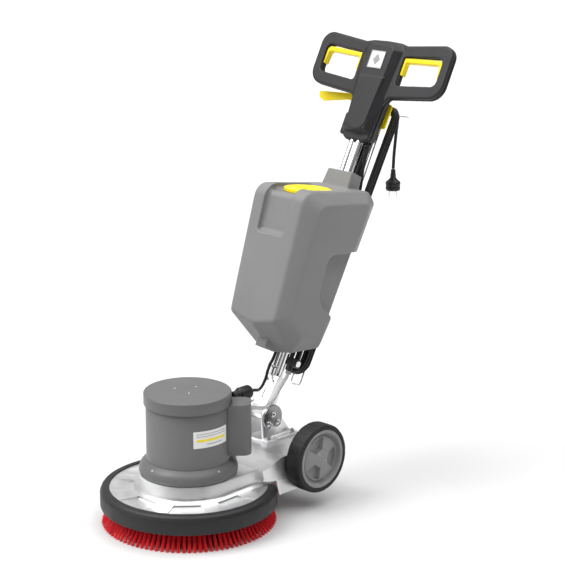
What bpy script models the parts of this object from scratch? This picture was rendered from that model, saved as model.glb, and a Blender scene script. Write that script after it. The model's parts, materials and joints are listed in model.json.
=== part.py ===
"""Single-disc floor machine: brush deck with motor, folding handle, solution tank and mains cord."""

import math

import bmesh
import bpy
from mathutils import Matrix, Vector

# ---------------------------------------------------------------- driving sizes, metres
GAP = 0.0003
WORKING_RADIUS = 0.215
BUMPER_RADIUS = 0.220
DECK_RADIUS = 0.1997
SHEET = 0.003
DECK_AXIS_Y = -0.2966
RIM_HEIGHT = 0.090
PLATEAU_HEIGHT = 0.130
PLATEAU_RADIUS = 0.1215
SHELF_HEIGHT = 0.1485
SHELF_HALF_WIDTH = 0.1415
SHELF_REAR = 0.352
MOTOR_RADIUS = 0.1035
MOTOR_BORE = 0.0985
CAP_RADIUS = 0.1083
CAP_TOP = 0.336
CAP_BOTTOM = 0.3063
CAPACITOR_BOX_TURN = 44.0
AXLE_Y = 0.2822
AXLE_Z = 0.1304
AXLE_RADIUS = 0.010
WHEEL_RADIUS = 0.0885
RIM_RADIUS = 0.0759
WHEEL_INNER_X = 0.1446
WHEEL_OUTER_X = 0.1916
PIVOT_Y = 0.264
PIVOT_Z = 0.2164
HANDLE_LEAN = 28.0
TUBE_RADIUS = 0.010
TUBE_OFFSET = 0.0105
TUBE_START = 0.0303
TUBE_END = 0.770
HEAD_BOTTOM = 0.738
CORD_RADIUS = 0.0042
MOTOR_CABLE_RADIUS = 0.0040
HOSE_RADIUS = 0.0048
HANK_RADIUS = 0.0125
HOOK_WIRE_RADIUS = 0.0023
GEAR_MODULE = 0.00125
SUN_TEETH = 12
PLANET_TEETH = 45
RING_TEETH = 102
PLANET_COUNT = 3
CAP_TILT = 21.9
TANK_CAP_RADIUS = 0.061
SPLIT = GAP / 2

# ---------------------------------------------------------------- scene, materials, frames
for old in list(bpy.data.objects):
    bpy.data.objects.remove(old, do_unlink=True)

PARTS = bpy.data.collections.new("floor_burnisher")
CUTTERS = bpy.data.collections.new("cutters")
bpy.context.scene.collection.children.link(PARTS)
bpy.context.scene.collection.children.link(CUTTERS)

DECK = Matrix.Translation((0.0, DECK_AXIS_Y, 0.0))
HANDLE = (
    DECK
    @ Matrix.Translation((0.0, PIVOT_Y, PIVOT_Z))
    @ Matrix.Rotation(math.radians(-HANDLE_LEAN), 4, "X")
)
CAPACITOR_FRAME = DECK @ Matrix.Rotation(math.radians(CAPACITOR_BOX_TURN), 4, "Z")


def material(name, colour, roughness, metallic=0.0):
    """A Principled material with a plain colour."""
    result = bpy.data.materials.new(name)
    result.use_nodes = True
    shader = result.node_tree.nodes["Principled BSDF"]
    shader.inputs["Base Color"].default_value = (*colour, 1.0)
    shader.inputs["Roughness"].default_value = roughness
    shader.inputs["Metallic"].default_value = metallic
    return result


POLISHED = material("polished_aluminium", (0.80, 0.80, 0.80), 0.25, 1.0)
CHROME = material("chrome", (0.85, 0.85, 0.86), 0.08, 1.0)
STEEL = material("steel", (0.45, 0.45, 0.46), 0.35, 1.0)
COPPER = material("copper", (0.72, 0.38, 0.20), 0.40, 1.0)
MOTOR_PAINT = material("motor_paint", (0.16, 0.16, 0.16), 0.45)
DARK_PAINT = material("dark_paint", (0.07, 0.07, 0.07), 0.45)
TANK_PLASTIC = material("tank_plastic", (0.22, 0.22, 0.22), 0.50)
HEAD_PLASTIC = material("head_plastic", (0.045, 0.045, 0.048), 0.50)
BLACK_PLASTIC = material("black_plastic", (0.02, 0.02, 0.02), 0.45)
YELLOW_PLASTIC = material("yellow_plastic", (0.95, 0.80, 0.01), 0.40)
RIM_PLASTIC = material("rim_plastic", (0.20, 0.20, 0.20), 0.45)
RUBBER = material("rubber", (0.018, 0.018, 0.018), 0.65)
BUMPER_RUBBER = material("bumper_rubber", (0.045, 0.045, 0.045), 0.60)
BRISTLE = material("bristle", (0.55, 0.01, 0.02), 0.50)
CLEAR_HOSE = material("clear_hose", (0.75, 0.77, 0.76), 0.20)
LABEL = material("label", (0.80, 0.80, 0.78), 0.40)


# ---------------------------------------------------------------- shape builders
def add_solid(name, vertices, faces, surface, frame, origin=(0.0, 0.0, 0.0), smooth=False):
    """Adds one closed solid with outward normals, placed at origin in frame."""
    mesh = bpy.data.meshes.new(name)
    shape = bmesh.new()
    corners = [shape.verts.new(point) for point in vertices]
    for face in faces:
        shape.faces.new([corners[index] for index in face])
    bmesh.ops.recalc_face_normals(shape, faces=shape.faces)
    shape.to_mesh(mesh)
    shape.free()
    mesh.materials.append(surface)
    if smooth:
        mesh.shade_smooth()
        mesh.set_sharp_from_angle(angle=math.radians(35.0))
    solid = bpy.data.objects.new(name, mesh)
    solid.matrix_world = frame @ Matrix.Translation(origin)
    PARTS.objects.link(solid)
    return solid


def lathe(name, profile, surface, frame, origin=(0.0, 0.0, 0.0), axis="Z", segments=24):
    """Turns a closed (radius, height) profile about an axis through origin."""
    vertices = []
    rings = []
    for radius, height in profile:
        count = 1 if radius < 1e-9 else segments
        rings.append(range(len(vertices), len(vertices) + count))
        for step in range(count):
            angle = 2.0 * math.pi * step / segments
            across = radius * math.cos(angle)
            up = radius * math.sin(angle)
            point = {"Z": (across, up, height), "X": (height, across, up), "Y": (across, height, up)}
            vertices.append(point[axis])
    faces = []
    for first, second in zip(rings, rings[1:] + rings[:1]):
        if len(first) == 1 and len(second) == 1:
            continue
        for step in range(segments):
            following = (step + 1) % segments
            corners = [first[step % len(first)], second[step % len(second)]]
            corners += [second[following % len(second)], first[following % len(first)]]
            faces.append(list(dict.fromkeys(corners)))
    return add_solid(name, vertices, faces, surface, frame, origin, smooth=True)


def loft(name, loops, surface, frame, origin=(0.0, 0.0, 0.0), smooth=False):
    """Joins loops of equal length into a skin and closes both ends."""
    count = len(loops[0])
    vertices = [point for loop in loops for point in loop]
    faces = [list(range(count)), list(range((len(loops) - 1) * count, len(loops) * count))]
    for row in range(len(loops) - 1):
        for step in range(count):
            following = (step + 1) % count
            base = row * count
            above = base + count
            faces.append([base + step, base + following, above + following, above + step])
    return add_solid(name, vertices, faces, surface, frame, origin, smooth)


def plane_point(plane, first, second, depth):
    """Puts a flat point and a depth into 3-D for the named plane."""
    choices = {
        "XY": (first, second, depth),
        "XZ": (first, depth, second),
        "YZ": (depth, first, second),
    }
    return choices[plane]


def extrude(name, outline, low, high, surface, frame, plane="XY", origin=(0.0, 0.0, 0.0)):
    """A flat outline carried from depth low to depth high."""
    loops = [[plane_point(plane, a, b, depth) for a, b in outline] for depth in (low, high)]
    return loft(name, loops, surface, frame, origin)


def box(name, low, high, surface, frame):
    """A rectangular block between two corners."""
    outline = [(low[0], low[1]), (high[0], low[1]), (high[0], high[1]), (low[0], high[1])]
    return extrude(name, outline, low[2], high[2], surface, frame)


def rounded(corners, steps=3):
    """Rounds each (across, up, radius) corner of an outline with an arc."""
    outline = []
    for index, (across, up, radius) in enumerate(corners):
        here = Vector((across, up))
        before = Vector(corners[index - 1][:2]) - here
        after = Vector(corners[(index + 1) % len(corners)][:2]) - here
        if radius <= 0.0:
            outline.append((across, up))
            continue
        half = before.angle(after) / 2.0
        reach = radius / math.tan(half)
        start = here + before.normalized() * reach
        finish = here + after.normalized() * reach
        centre = here + (before.normalized() + after.normalized()).normalized() * (radius / math.sin(half))
        turn = (start - centre).angle_signed(finish - centre)
        for step in range(steps + 1):
            arm = (start - centre).copy()
            arm.rotate(Matrix.Rotation(-turn * step / steps, 2))
            outline.append(tuple(centre + arm))
    return outline


def arc(centre, radius, start, finish, steps):
    """Points of a circular arc, angles in degrees."""
    points = []
    for step in range(steps + 1):
        angle = math.radians(start + (finish - start) * step / steps)
        points.append((centre[0] + radius * math.cos(angle), centre[1] + radius * math.sin(angle)))
    return points


def smooth_path(points, per_span, closed=False):
    """A Catmull-Rom curve through the route points."""
    knots = [Vector(point) for point in points]
    if closed:
        knots = [knots[-1]] + knots + knots[:2]
    else:
        knots = [2 * knots[0] - knots[1]] + knots + [2 * knots[-1] - knots[-2]]
    path = []
    for index in range(1, len(knots) - 2):
        before, here, there, after = knots[index - 1:index + 3]
        for step in range(per_span):
            along = step / per_span
            cubic = (-before + 3 * here - 3 * there + after) * along ** 3
            square = (2 * before - 5 * here + 4 * there - after) * along ** 2
            path.append(0.5 * (2 * here + (there - before) * along + square + cubic))
    if not closed:
        path.append(knots[-2])
    return path


def sweep(name, path, radius, surface, frame, sides=8, closed=False, origin=(0.0, 0.0, 0.0)):
    """A round rod along a path, with flat ends unless the path is closed."""
    points = [Vector(point) for point in path]
    count = len(points)
    normal = None
    vertices = []
    for index, point in enumerate(points):
        if closed:
            direction = points[(index + 1) % count] - points[index - 1]
        else:
            direction = points[min(index + 1, count - 1)] - points[max(index - 1, 0)]
        direction.normalize()
        if normal is None:
            helper = Vector((0.0, 1.0, 0.0)) if abs(direction.y) < 0.8 else Vector((1.0, 0.0, 0.0))
            normal = direction.cross(helper)
        normal = (normal - direction * normal.dot(direction)).normalized()
        other = direction.cross(normal)
        for side in range(sides):
            angle = 2.0 * math.pi * side / sides
            vertices.append(point + (normal * math.cos(angle) + other * math.sin(angle)) * radius)
    faces = []
    for index in range(count if closed else count - 1):
        base = index * sides
        above = ((index + 1) % count) * sides
        for side in range(sides):
            following = (side + 1) % sides
            faces.append([base + side, base + following, above + following, above + side])
    if not closed:
        faces += [list(range(sides)), list(range((count - 1) * sides, count * sides))]
    return add_solid(name, vertices, faces, surface, frame, origin, smooth=True)


def boolean(body, tool, operation):
    """Adds a live Boolean and puts its tool away with the cutters."""
    PARTS.objects.unlink(tool)
    CUTTERS.objects.link(tool)
    tool.hide_render = True
    tool.display_type = "WIRE"
    step = body.modifiers.new(tool.name, "BOOLEAN")
    step.operation = operation
    step.object = tool
    step.solver = "EXACT"


def cut(body, tool):
    boolean(body, tool, "DIFFERENCE")


def unite(body, tool):
    boolean(body, tool, "UNION")


def soften(body, width, segments=2, angle=40.0):
    """Rounds the sharp edges of a solid."""
    step = body.modifiers.new("edges", "BEVEL")
    step.width = width
    step.segments = segments
    step.limit_method = "ANGLE"
    step.angle_limit = math.radians(angle)


def disc(name, radius, low, high, surface, frame, origin=(0.0, 0.0, 0.0), axis="Z", segments=24):
    """A solid cylinder."""
    profile = [(0.0, low), (radius, low), (radius, high), (0.0, high)]
    return lathe(name, profile, surface, frame, origin, axis, segments)


def ring(name, inner, outer, low, high, surface, frame, origin=(0.0, 0.0, 0.0), axis="Z", segments=24):
    """A plain bushing."""
    profile = [(inner, low), (outer, low), (outer, high), (inner, high)]
    return lathe(name, profile, surface, frame, origin, axis, segments)


def mirrored(points):
    """Mirrors route points across the middle plane and reverses their order."""
    return [(-x, y, z) for x, y, z in reversed(points)]


# ---------------------------------------------------------------- deck
PAD_TURNS = (0.0, -45.0, -90.0, -135.0, -180.0)
MOTOR_HOLE_RADIUS = 0.0795
SKIRT_BOTTOM = 0.050
SHELF_OUTLINE = [
    (0.1765, 0.0507),
    (0.1665, 0.0912),
    (0.124, 0.1000),
    (0.118, PLATEAU_HEIGHT),
    (0.140, 0.1325),
    (0.158, 0.1390),
    (0.174, 0.1450),
    (0.192, SHELF_HEIGHT),
    (SHELF_REAR, SHELF_HEIGHT),
    (SHELF_REAR, 0.098),
    (0.318, 0.0560),
    (0.2348, 0.0507),
]


def deck_body(name, inset):
    """The deck's outer solid, or the hollow under it when inset by the sheet."""
    floor = -0.02 if inset else SKIRT_BOTTOM
    body = disc(name, DECK_RADIUS - inset, floor, RIM_HEIGHT - inset, POLISHED, DECK, segments=56)
    loops = []
    for radius, height in (
        (PLATEAU_RADIUS + 0.006, RIM_HEIGHT - 0.020),
        (PLATEAU_RADIUS + 0.004, RIM_HEIGHT + 0.002 - inset),
        (PLATEAU_RADIUS, PLATEAU_HEIGHT - inset),
    ):
        edge = radius - inset
        outline = arc((0.0, 0.0), edge, -180.0, 0.0, 22) + [(edge, 0.168 - inset), (-edge, 0.168 - inset)]
        loops.append([(x, y, height) for x, y in outline])
    unite(body, loft(name + "_plateau", loops, POLISHED, DECK))
    return body


def shelf_body(name, inset):
    """The raised rear shelf with its side flanges, or the hollow under it."""
    if inset:
        outline = [(y + inset, z + inset * 0.8) for y, z in SHELF_OUTLINE[:3]]
        outline[0] = (outline[0][0], -0.03)
        outline += [(0.1215, PLATEAU_HEIGHT - inset - 0.0004)]
        outline += [(y, z - inset) for y, z in SHELF_OUTLINE[4:8]]
        outline += [(SHELF_REAR - inset, SHELF_HEIGHT - inset), (SHELF_REAR - inset, -0.03)]
    else:
        outline = SHELF_OUTLINE
    edge = SHELF_HALF_WIDTH - inset
    return extrude(name, outline, -edge, edge, POLISHED, DECK, plane="YZ")


deck_plate = deck_body("deck_plate", 0.0)
unite(deck_plate, shelf_body("deck_shelf", 0.0))
cut(deck_plate, deck_body("deck_hollow", SHEET))
cut(deck_plate, shelf_body("shelf_hollow", SHEET))
cut(deck_plate, disc("motor_hole", MOTOR_HOLE_RADIUS, 0.10, 0.15, POLISHED, DECK, segments=32))
cut(deck_plate, disc("axle_holes", AXLE_RADIUS + GAP, -0.16, 0.16, POLISHED, DECK,
                     (0.0, AXLE_Y, AXLE_Z), "X", 16))
for pad_turn in PAD_TURNS:
    pad_frame = DECK @ Matrix.Rotation(math.radians(pad_turn), 4, "Z")
    pad_outline = [(0.1345, -0.033), (0.21, -0.048), (0.21, 0.048), (0.1345, 0.033)]
    pad_low = RIM_HEIGHT - 0.0012
    cut(deck_plate, extrude(f"pad_{pad_turn:.0f}", pad_outline, pad_low, 0.11, POLISHED, pad_frame))

BUMPER_PROFILE = [
    (0.2006, 0.0460),
    (0.2190, 0.0450),
    (BUMPER_RADIUS, 0.0470),
    (BUMPER_RADIUS, 0.0820),
    (0.2165, 0.0885),
    (0.2090, 0.0925),
    (0.1965, 0.0925),
    (0.1965, RIM_HEIGHT + GAP),
    (0.2006, RIM_HEIGHT + GAP),
]
BUMPER_HALF_TURN = 132.5
BUMPER_STEPS = 40
bumper_loops = []
for bumper_step in range(BUMPER_STEPS + 1):
    bumper_angle = math.radians(-90.0 + BUMPER_HALF_TURN * (2.0 * bumper_step / BUMPER_STEPS - 1.0))
    bumper_loops.append([
        (radius * math.cos(bumper_angle), radius * math.sin(bumper_angle), height)
        for radius, height in BUMPER_PROFILE
    ])
loft("bumper", bumper_loops, BUMPER_RUBBER, DECK, smooth=True)

# ---------------------------------------------------------------- motor
FLANGE_TOP = 0.1645
lathe("motor_flange", [
    (0.1000, PLATEAU_HEIGHT + GAP),
    (0.1195, PLATEAU_HEIGHT + GAP),
    (0.1224, 0.1390),
    (0.1205, 0.1500),
    (0.1140, 0.1590),
    (0.1040, FLANGE_TOP),
    (0.1000, FLANGE_TOP),
], MOTOR_PAINT, DECK, segments=44)
ring("motor_housing", MOTOR_BORE, MOTOR_RADIUS, FLANGE_TOP + GAP, CAP_BOTTOM - GAP, MOTOR_PAINT, DECK,
     segments=44)
lathe("motor_cap", [
    (0.0, CAP_TOP),
    (0.0990, CAP_TOP),
    (CAP_RADIUS, 0.3290),
    (CAP_RADIUS, CAP_BOTTOM),
    (MOTOR_BORE, CAP_BOTTOM),
    (MOTOR_BORE, 0.3310),
    (0.0, 0.3310),
], MOTOR_PAINT, DECK, segments=44)
ring("end_shield", 0.0213, 0.0982, 0.2935, 0.3035, STEEL, DECK)
ring("upper_bearing", 0.0103, 0.0210, 0.2937, 0.3033, STEEL, DECK, segments=16)
ring("stator_core", 0.0580, 0.0982, 0.1900, 0.2700, STEEL, DECK)
ring("winding_upper", 0.0620, 0.0940, 0.2703, 0.2920, COPPER, DECK)
ring("winding_lower", 0.0620, 0.0940, 0.1680, 0.1897, COPPER, DECK)
PINION_RADIUS = GEAR_MODULE * SUN_TEETH / 2 - GAP
lathe("rotor", [
    (0.0, 0.1350),
    (PINION_RADIUS, 0.1350),
    (PINION_RADIUS, 0.1492),
    (0.0100, 0.1520),
    (0.0100, 0.1900),
    (0.0574, 0.1900),
    (0.0574, 0.2700),
    (0.0100, 0.2700),
    (0.0100, 0.3280),
    (0.0, 0.3280),
], STEEL, DECK, segments=24)
lathe("cooling_fan", [
    (0.0103, 0.3080),
    (0.0880, 0.3080),
    (0.0880, 0.3100),
    (0.0240, 0.3110),
    (0.0240, 0.3260),
    (0.0103, 0.3260),
], BLACK_PLASTIC, DECK, segments=24)

# ---------------------------------------------------------------- gearbox and brush
ring("lower_bearing", 0.0103, 0.0210, 0.1525, 0.1618, STEEL, DECK, segments=16)
lathe("gearbox_housing", [
    (0.0213, 0.1620),
    (0.0982, 0.1620),
    (0.0982, 0.1510),
    (0.0785, 0.1510),
    (0.0785, 0.1060),
    (0.0303, 0.1060),
    (0.0303, 0.1200),
    (0.0723, 0.1200),
    (0.0723, 0.1498),
    (0.0213, 0.1498),
], STEEL, DECK)
RING_PITCH = GEAR_MODULE * RING_TEETH / 2
PLANET_PITCH = GEAR_MODULE * PLANET_TEETH / 2
CARRIER_PITCH = GEAR_MODULE * (SUN_TEETH + PLANET_TEETH) / 2
ring("ring_gear", RING_PITCH + GAP, 0.0720, 0.1355, 0.1490, STEEL, DECK)
carrier = lathe("planet_carrier", [
    (0.0, 0.1333),
    (0.0450, 0.1333),
    (0.0450, 0.1237),
    (0.0150, 0.1237),
    (0.0150, 0.0680),
    (0.0, 0.0680),
], STEEL, DECK, segments=24)
for planet in range(PLANET_COUNT):
    planet_angle = 2.0 * math.pi * planet / PLANET_COUNT
    planet_place = (CARRIER_PITCH * math.cos(planet_angle), CARRIER_PITCH * math.sin(planet_angle), 0.0)
    unite(carrier, disc(f"planet_pin_{planet + 1}", 0.0080, 0.1300, 0.1485, STEEL, DECK, planet_place,
                        segments=12))
    ring(f"planet_gear_{planet + 1}", 0.0083, PLANET_PITCH - GAP, 0.1360, 0.1480, STEEL, DECK, planet_place,
         segments=24)
ring("output_bearing", 0.0153, 0.0300, 0.1070, 0.1190, STEEL, DECK, segments=24)
lathe("drive_plate", [
    (0.0153, 0.0660),
    (0.0700, 0.0660),
    (0.0700, 0.0730),
    (0.0300, 0.0750),
    (0.0300, 0.0920),
    (0.0153, 0.0920),
], STEEL, DECK, segments=24)
lathe("brush_block", [
    (0.0300, 0.0478),
    (0.1920, 0.0478),
    (0.1930, 0.0500),
    (0.1900, 0.0657),
    (0.0300, 0.0657),
], BLACK_PLASTIC, DECK, segments=40)
lathe("bristles", [
    (0.0700, 0.0),
    (WORKING_RADIUS, 0.0),
    (WORKING_RADIUS + 0.001, 0.0050),
    (0.1955, 0.0475),
    (0.0750, 0.0475),
], BRISTLE, DECK, segments=48)

# ---------------------------------------------------------------- capacitor box and cable boot
BOX_BOTTOM = 0.178
BOX_TOP = 0.3085
capacitor_box = extrude("capacitor_box", rounded([
    (0.095, -0.033, 0.0),
    (0.156, -0.033, 0.020),
    (0.156, 0.033, 0.020),
    (0.095, 0.033, 0.0),
]), BOX_BOTTOM, BOX_TOP, MOTOR_PAINT, CAPACITOR_FRAME)
cut(capacitor_box, disc("motor_seat", MOTOR_RADIUS + GAP, 0.15, 0.35, MOTOR_PAINT, DECK, segments=44))
cut(capacitor_box, disc("cap_seat", CAP_RADIUS + GAP, CAP_BOTTOM - GAP, 0.35, MOTOR_PAINT, DECK, segments=44))
cut(capacitor_box, extrude("box_hollow", rounded([
    (0.108, -0.0305, 0.002),
    (0.1535, -0.0305, 0.0175),
    (0.1535, 0.0305, 0.0175),
    (0.108, 0.0305, 0.002),
]), BOX_BOTTOM - 0.01, BOX_TOP - 0.0025, MOTOR_PAINT, CAPACITOR_FRAME))
BOOT_X = 0.045
BOOT_Z = 0.3035
BOOT_RADIUS = 0.0175
BOOT_FRONT = 0.1120
BOOT_REAR = 0.1740
unite(capacitor_box, box("boot_bracket", (0.118, 0.0320, 0.268), (0.138, 0.0680, BOOT_Z - BOOT_RADIUS - GAP),
                         MOTOR_PAINT, CAPACITOR_FRAME))
disc("capacitor", 0.0190, BOX_BOTTOM + 0.004, BOX_TOP - 0.004, BLACK_PLASTIC, CAPACITOR_FRAME,
     (0.130, 0.0, 0.0), segments=16)
lathe("cable_boot", [
    (0.0, BOOT_FRONT),
    (0.0125, BOOT_FRONT),
    (0.0125, BOOT_FRONT + 0.018),
    (BOOT_RADIUS, BOOT_FRONT + 0.022),
    (BOOT_RADIUS, BOOT_REAR - 0.009),
    (0.0110, BOOT_REAR - 0.0025),
    (0.0055, BOOT_REAR),
    (0.0, BOOT_REAR),
], BLACK_PLASTIC, DECK, (BOOT_X, 0.0, BOOT_Z), "Y", 20)
LABEL_BOTTOM = 0.2215
LABEL_TOP = 0.2640
LABEL_HALF_TURN = 27.7
label_frame = DECK @ Matrix.Rotation(math.radians(-8.4), 4, "Z")
label_loops = []
for label_step in range(9):
    label_angle = math.radians(LABEL_HALF_TURN * (label_step / 4 - 1.0))
    label_loops.append([
        (radius * math.cos(label_angle), radius * math.sin(label_angle), height)
        for radius, height in (
            (MOTOR_RADIUS + GAP, LABEL_BOTTOM),
            (MOTOR_RADIUS + 0.0008, LABEL_BOTTOM),
            (MOTOR_RADIUS + 0.0008, LABEL_TOP),
            (MOTOR_RADIUS + GAP, LABEL_TOP),
        )
    ])
loft("rating_label", label_loops, LABEL, label_frame)

# ---------------------------------------------------------------- wheels
axle = disc("axle", AXLE_RADIUS, -0.1785, 0.1785, STEEL, DECK, (0.0, AXLE_Y, AXLE_Z), "X", 20)
RIM_PROFILE = [
    (0.0, 0.1840),
    (0.0300, 0.1840),
    (0.0400, 0.1790),
    (0.0620, 0.1770),
    (0.0680, 0.1905),
    (RIM_RADIUS, 0.1905),
    (RIM_RADIUS, 0.1456),
    (0.0700, 0.1456),
    (0.0640, 0.1680),
    (0.0240, 0.1700),
    (0.0240, 0.1456),
    (AXLE_RADIUS + GAP, 0.1456),
    (AXLE_RADIUS + GAP, 0.1790),
    (0.0, 0.1790),
]
TYRE_PROFILE = [
    (RIM_RADIUS + GAP, WHEEL_INNER_X),
    (0.0855, WHEEL_INNER_X),
    (WHEEL_RADIUS, WHEEL_INNER_X + 0.006),
    (WHEEL_RADIUS, WHEEL_OUTER_X - 0.006),
    (0.0855, WHEEL_OUTER_X),
    (RIM_RADIUS + GAP, WHEEL_OUTER_X),
]
for side_name, side in (("left", -1.0), ("right", 1.0)):
    wheel_place = (0.0, AXLE_Y, AXLE_Z)
    rim_profile = [(radius, side * across) for radius, across in RIM_PROFILE]
    lathe(f"wheel_rim_{side_name}", rim_profile, RIM_PLASTIC, DECK, wheel_place, "X", 28)
    tyre_profile = [(radius, side * across) for radius, across in TYRE_PROFILE]
    lathe(f"wheel_tyre_{side_name}", tyre_profile, RUBBER, DECK, wheel_place, "X", 36)

# ---------------------------------------------------------------- hinge
EAR_INNER = 0.0220
EAR_OUTER = 0.0300
PLATE_OUTER = 0.0353
BOLT_OUTER = 0.0403
BASE_TOP = 0.1550
HINGE_BOLTS = ((PIVOT_Y, PIVOT_Z), (0.2467, 0.1944), (0.2800, 0.1930))
ear_outline = [(0.2350, BASE_TOP - 0.002)]
ear_outline += arc((0.2640, 0.2072), 0.0330, 185.0, -5.0, 12)
ear_outline += [(0.3330, BASE_TOP - 0.002)]
hinge_base = box("hinge_base", (-0.052, 0.226, SHELF_HEIGHT + GAP), (0.052, 0.342, BASE_TOP), POLISHED, DECK)
for side_name, side in (("left", -1.0), ("right", 1.0)):
    near, far = sorted((side * EAR_INNER, side * EAR_OUTER))
    unite(hinge_base, extrude(f"ear_{side_name}", ear_outline, near, far, POLISHED, DECK, "YZ"))
PIN_RADIUS = 0.0060
cut(hinge_base, disc("pin_hole", PIN_RADIUS + GAP, -0.05, 0.05, STEEL, DECK, (0.0, PIVOT_Y, PIVOT_Z), "X", 16))
disc("hinge_pin", PIN_RADIUS, -EAR_OUTER, EAR_OUTER, STEEL, DECK, (0.0, PIVOT_Y, PIVOT_Z), "X", 16)
plate_outline = arc((0.2640, 0.2070), 0.0328, 195.0, -15.0, 14)
plate_outline += [(0.2915, 0.1830), (0.2760, 0.1790), (0.2640, 0.2010), (0.2530, 0.1790), (0.2370, 0.1850)]
for side_name, side in (("left", -1.0), ("right", 1.0)):
    near, far = sorted((side * (EAR_OUTER + GAP), side * PLATE_OUTER))
    plate = extrude(f"hinge_plate_{side_name}", plate_outline, near, far, DARK_PAINT, DECK, "YZ")
    for number, (bolt_y, bolt_z) in enumerate(HINGE_BOLTS):
        near, far = sorted((side * (PLATE_OUTER - 0.001), side * BOLT_OUTER))
        unite(plate, disc(f"bolt_{side_name}_{number}", 0.0080, near, far, STEEL, DECK,
                          (0.0, bolt_y, bolt_z), "X", 6))

# ---------------------------------------------------------------- handle foot and tubes
FOOT_TOP = 0.095
foot_outline = [
    (-0.0120, FOOT_TOP),
    (-0.0200, 0.040),
    (-0.0250, 0.012),
    (-0.0240, -0.010),
    (-0.0150, -0.020),
    (0.0, -0.0225),
    (0.0120, -0.018),
    (0.0165, -0.004),
    (0.0140, 0.020),
    (0.0120, FOOT_TOP),
]
handle_foot = extrude("handle_foot", foot_outline, -0.0217, 0.0217, POLISHED, HANDLE, "YZ")
cut(handle_foot, disc("pivot_bore", PIN_RADIUS + GAP, -0.05, 0.05, STEEL, HANDLE, axis="X", segments=16))
for side_name, side in (("left", -1.0), ("right", 1.0)):
    tube_place = (side * TUBE_OFFSET, 0.0, 0.0)
    cut(handle_foot, disc(f"socket_{side_name}", TUBE_RADIUS + GAP, TUBE_START - GAP, 0.12, STEEL, HANDLE,
                          tube_place, segments=16))
    ring(f"handle_tube_{side_name}", TUBE_RADIUS - 0.0015, TUBE_RADIUS, TUBE_START, TUBE_END, CHROME, HANDLE,
         tube_place, segments=16)
disc("lock_rod", 0.0030, 0.098, 0.776, STEEL, HANDLE, (0.0, 0.0165, 0.0), segments=10)

# ---------------------------------------------------------------- solution tank
TANK_WALL = 0.0045
CHANNEL_HALF_WIDTH = 0.0235
CHANNEL_FRONT = -0.0215


def panel_half_width(along):
    """Half the tank's width at the flat side panels; it narrows downwards."""
    return 0.1006 + 0.0596 * (along - 0.247)


# Corners run up the front, over the top and down the rear, as (back, along).
PANEL = [
    (-0.130, 0.236), (-0.168, 0.494), (-0.1640, 0.512), (-0.150, 0.5285), (-0.008, 0.5790),
    (-0.002, 0.568), (0.0025, 0.4531), (0.008, 0.300), (0.010, 0.222), (-0.060, 0.2049),
]
SHOULDER = [
    (-0.160, 0.214), (-0.2085, 0.500), (-0.2040, 0.532), (-0.183, 0.552), (0.0135, 0.6176),
    (0.0388, 0.5963), (0.0345, 0.4589), (0.0305, 0.280), (0.0320, 0.196), (-0.040, 0.158),
]
SHOULDER_HALF_WIDTHS = [0.070, 0.0812, 0.082, 0.083, 0.085, 0.095, 0.095, 0.090, 0.080, 0.060]
CENTRE = [
    (-0.152, 0.198), (-0.2115, 0.500), (-0.2070, 0.533), (-0.186, 0.5545), (0.0135, 0.6190),
    (0.0388, 0.5985), (0.0345, 0.4600), (0.0305, 0.280), (0.0320, 0.187), (-0.045, 0.1475),
]


def tank_loops(wall=0.0):
    """The tank's cross-sections from side to side, drawn inwards by a wall for its hollow."""
    middle_back = -0.085
    middle_along = 0.380
    stations = []
    for side in (-1.0, -0.5, 0.0, 0.5, 1.0):
        loop = []
        for panel, shoulder, half_width, middle in zip(PANEL, SHOULDER, SHOULDER_HALF_WIDTHS, CENTRE):
            if abs(side) == 1.0:
                loop.append((side * panel_half_width(panel[1]), *panel))
            elif side:
                loop.append((2.0 * side * half_width, *shoulder))
            else:
                loop.append((0.0, *middle))
        stations.append([
            (
                x - math.copysign(min(wall, abs(x)), x),
                middle_back + (back - middle_back) * (1.0 - wall / 0.100),
                middle_along + (along - middle_along) * (1.0 - wall / 0.170),
            )
            for x, back, along in loop
        ])
    return stations


tank = loft("tank", tank_loops(), TANK_PLASTIC, HANDLE)
soften(tank, 0.005, 1, 20.0)
neck_low = [(-0.050, -0.0275), (0.050, -0.0275), (0.050, 0.0240), (-0.050, 0.0240)]
neck_high = [(-0.043, -0.0245), (0.043, -0.0245), (0.043, 0.0200), (-0.043, 0.0200)]
neck_loops = [[(x, y, 0.57) for x, y in neck_low], [(x, y, 0.652) for x, y in neck_high]]
unite(tank, loft("tank_neck", neck_loops, TANK_PLASTIC, HANDLE))
unite(tank, box("tank_foot", (-0.018, -0.094, 0.1500), (0.018, -0.052, 0.185), TANK_PLASTIC, HANDLE))
hollow = loft("tank_hollow", tank_loops(TANK_WALL), TANK_PLASTIC, HANDLE)
hollow.modifiers.new("triangles", "TRIANGULATE")
RECESS_OUTLINE = [
    (-0.230, 0.406), (-0.182, 0.425), (-0.1985, 0.5265), (-0.035, 0.5922), (-0.026, 0.66), (-0.260, 0.66),
    (-0.260, 0.406),
]
RECESS_WALL_OUTLINE = [
    (-0.230, 0.400), (-0.1775, 0.4190), (-0.1935, 0.5215), (-0.030, 0.5872), (-0.016, 0.66), (-0.260, 0.66),
    (-0.260, 0.400),
]
SEAT_OUTLINE = [(-0.181, 0.5334), (-0.0355, 0.5919), (-0.0265, 0.66), (-0.181, 0.66)]
SEAT_WALL_OUTLINE = [(-0.188, 0.5225), (-0.0285, 0.5866), (-0.017, 0.665), (-0.188, 0.665)]
NOTCH_OUTLINE = [
    (0.070, 0.470), (0.0025, 0.4531), (-0.066, 0.4240), (-0.0776, 0.4080), (-0.0615, 0.3200),
    (-0.0366, 0.2936), (0.0257, 0.2790), (0.070, 0.262),
]
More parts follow.
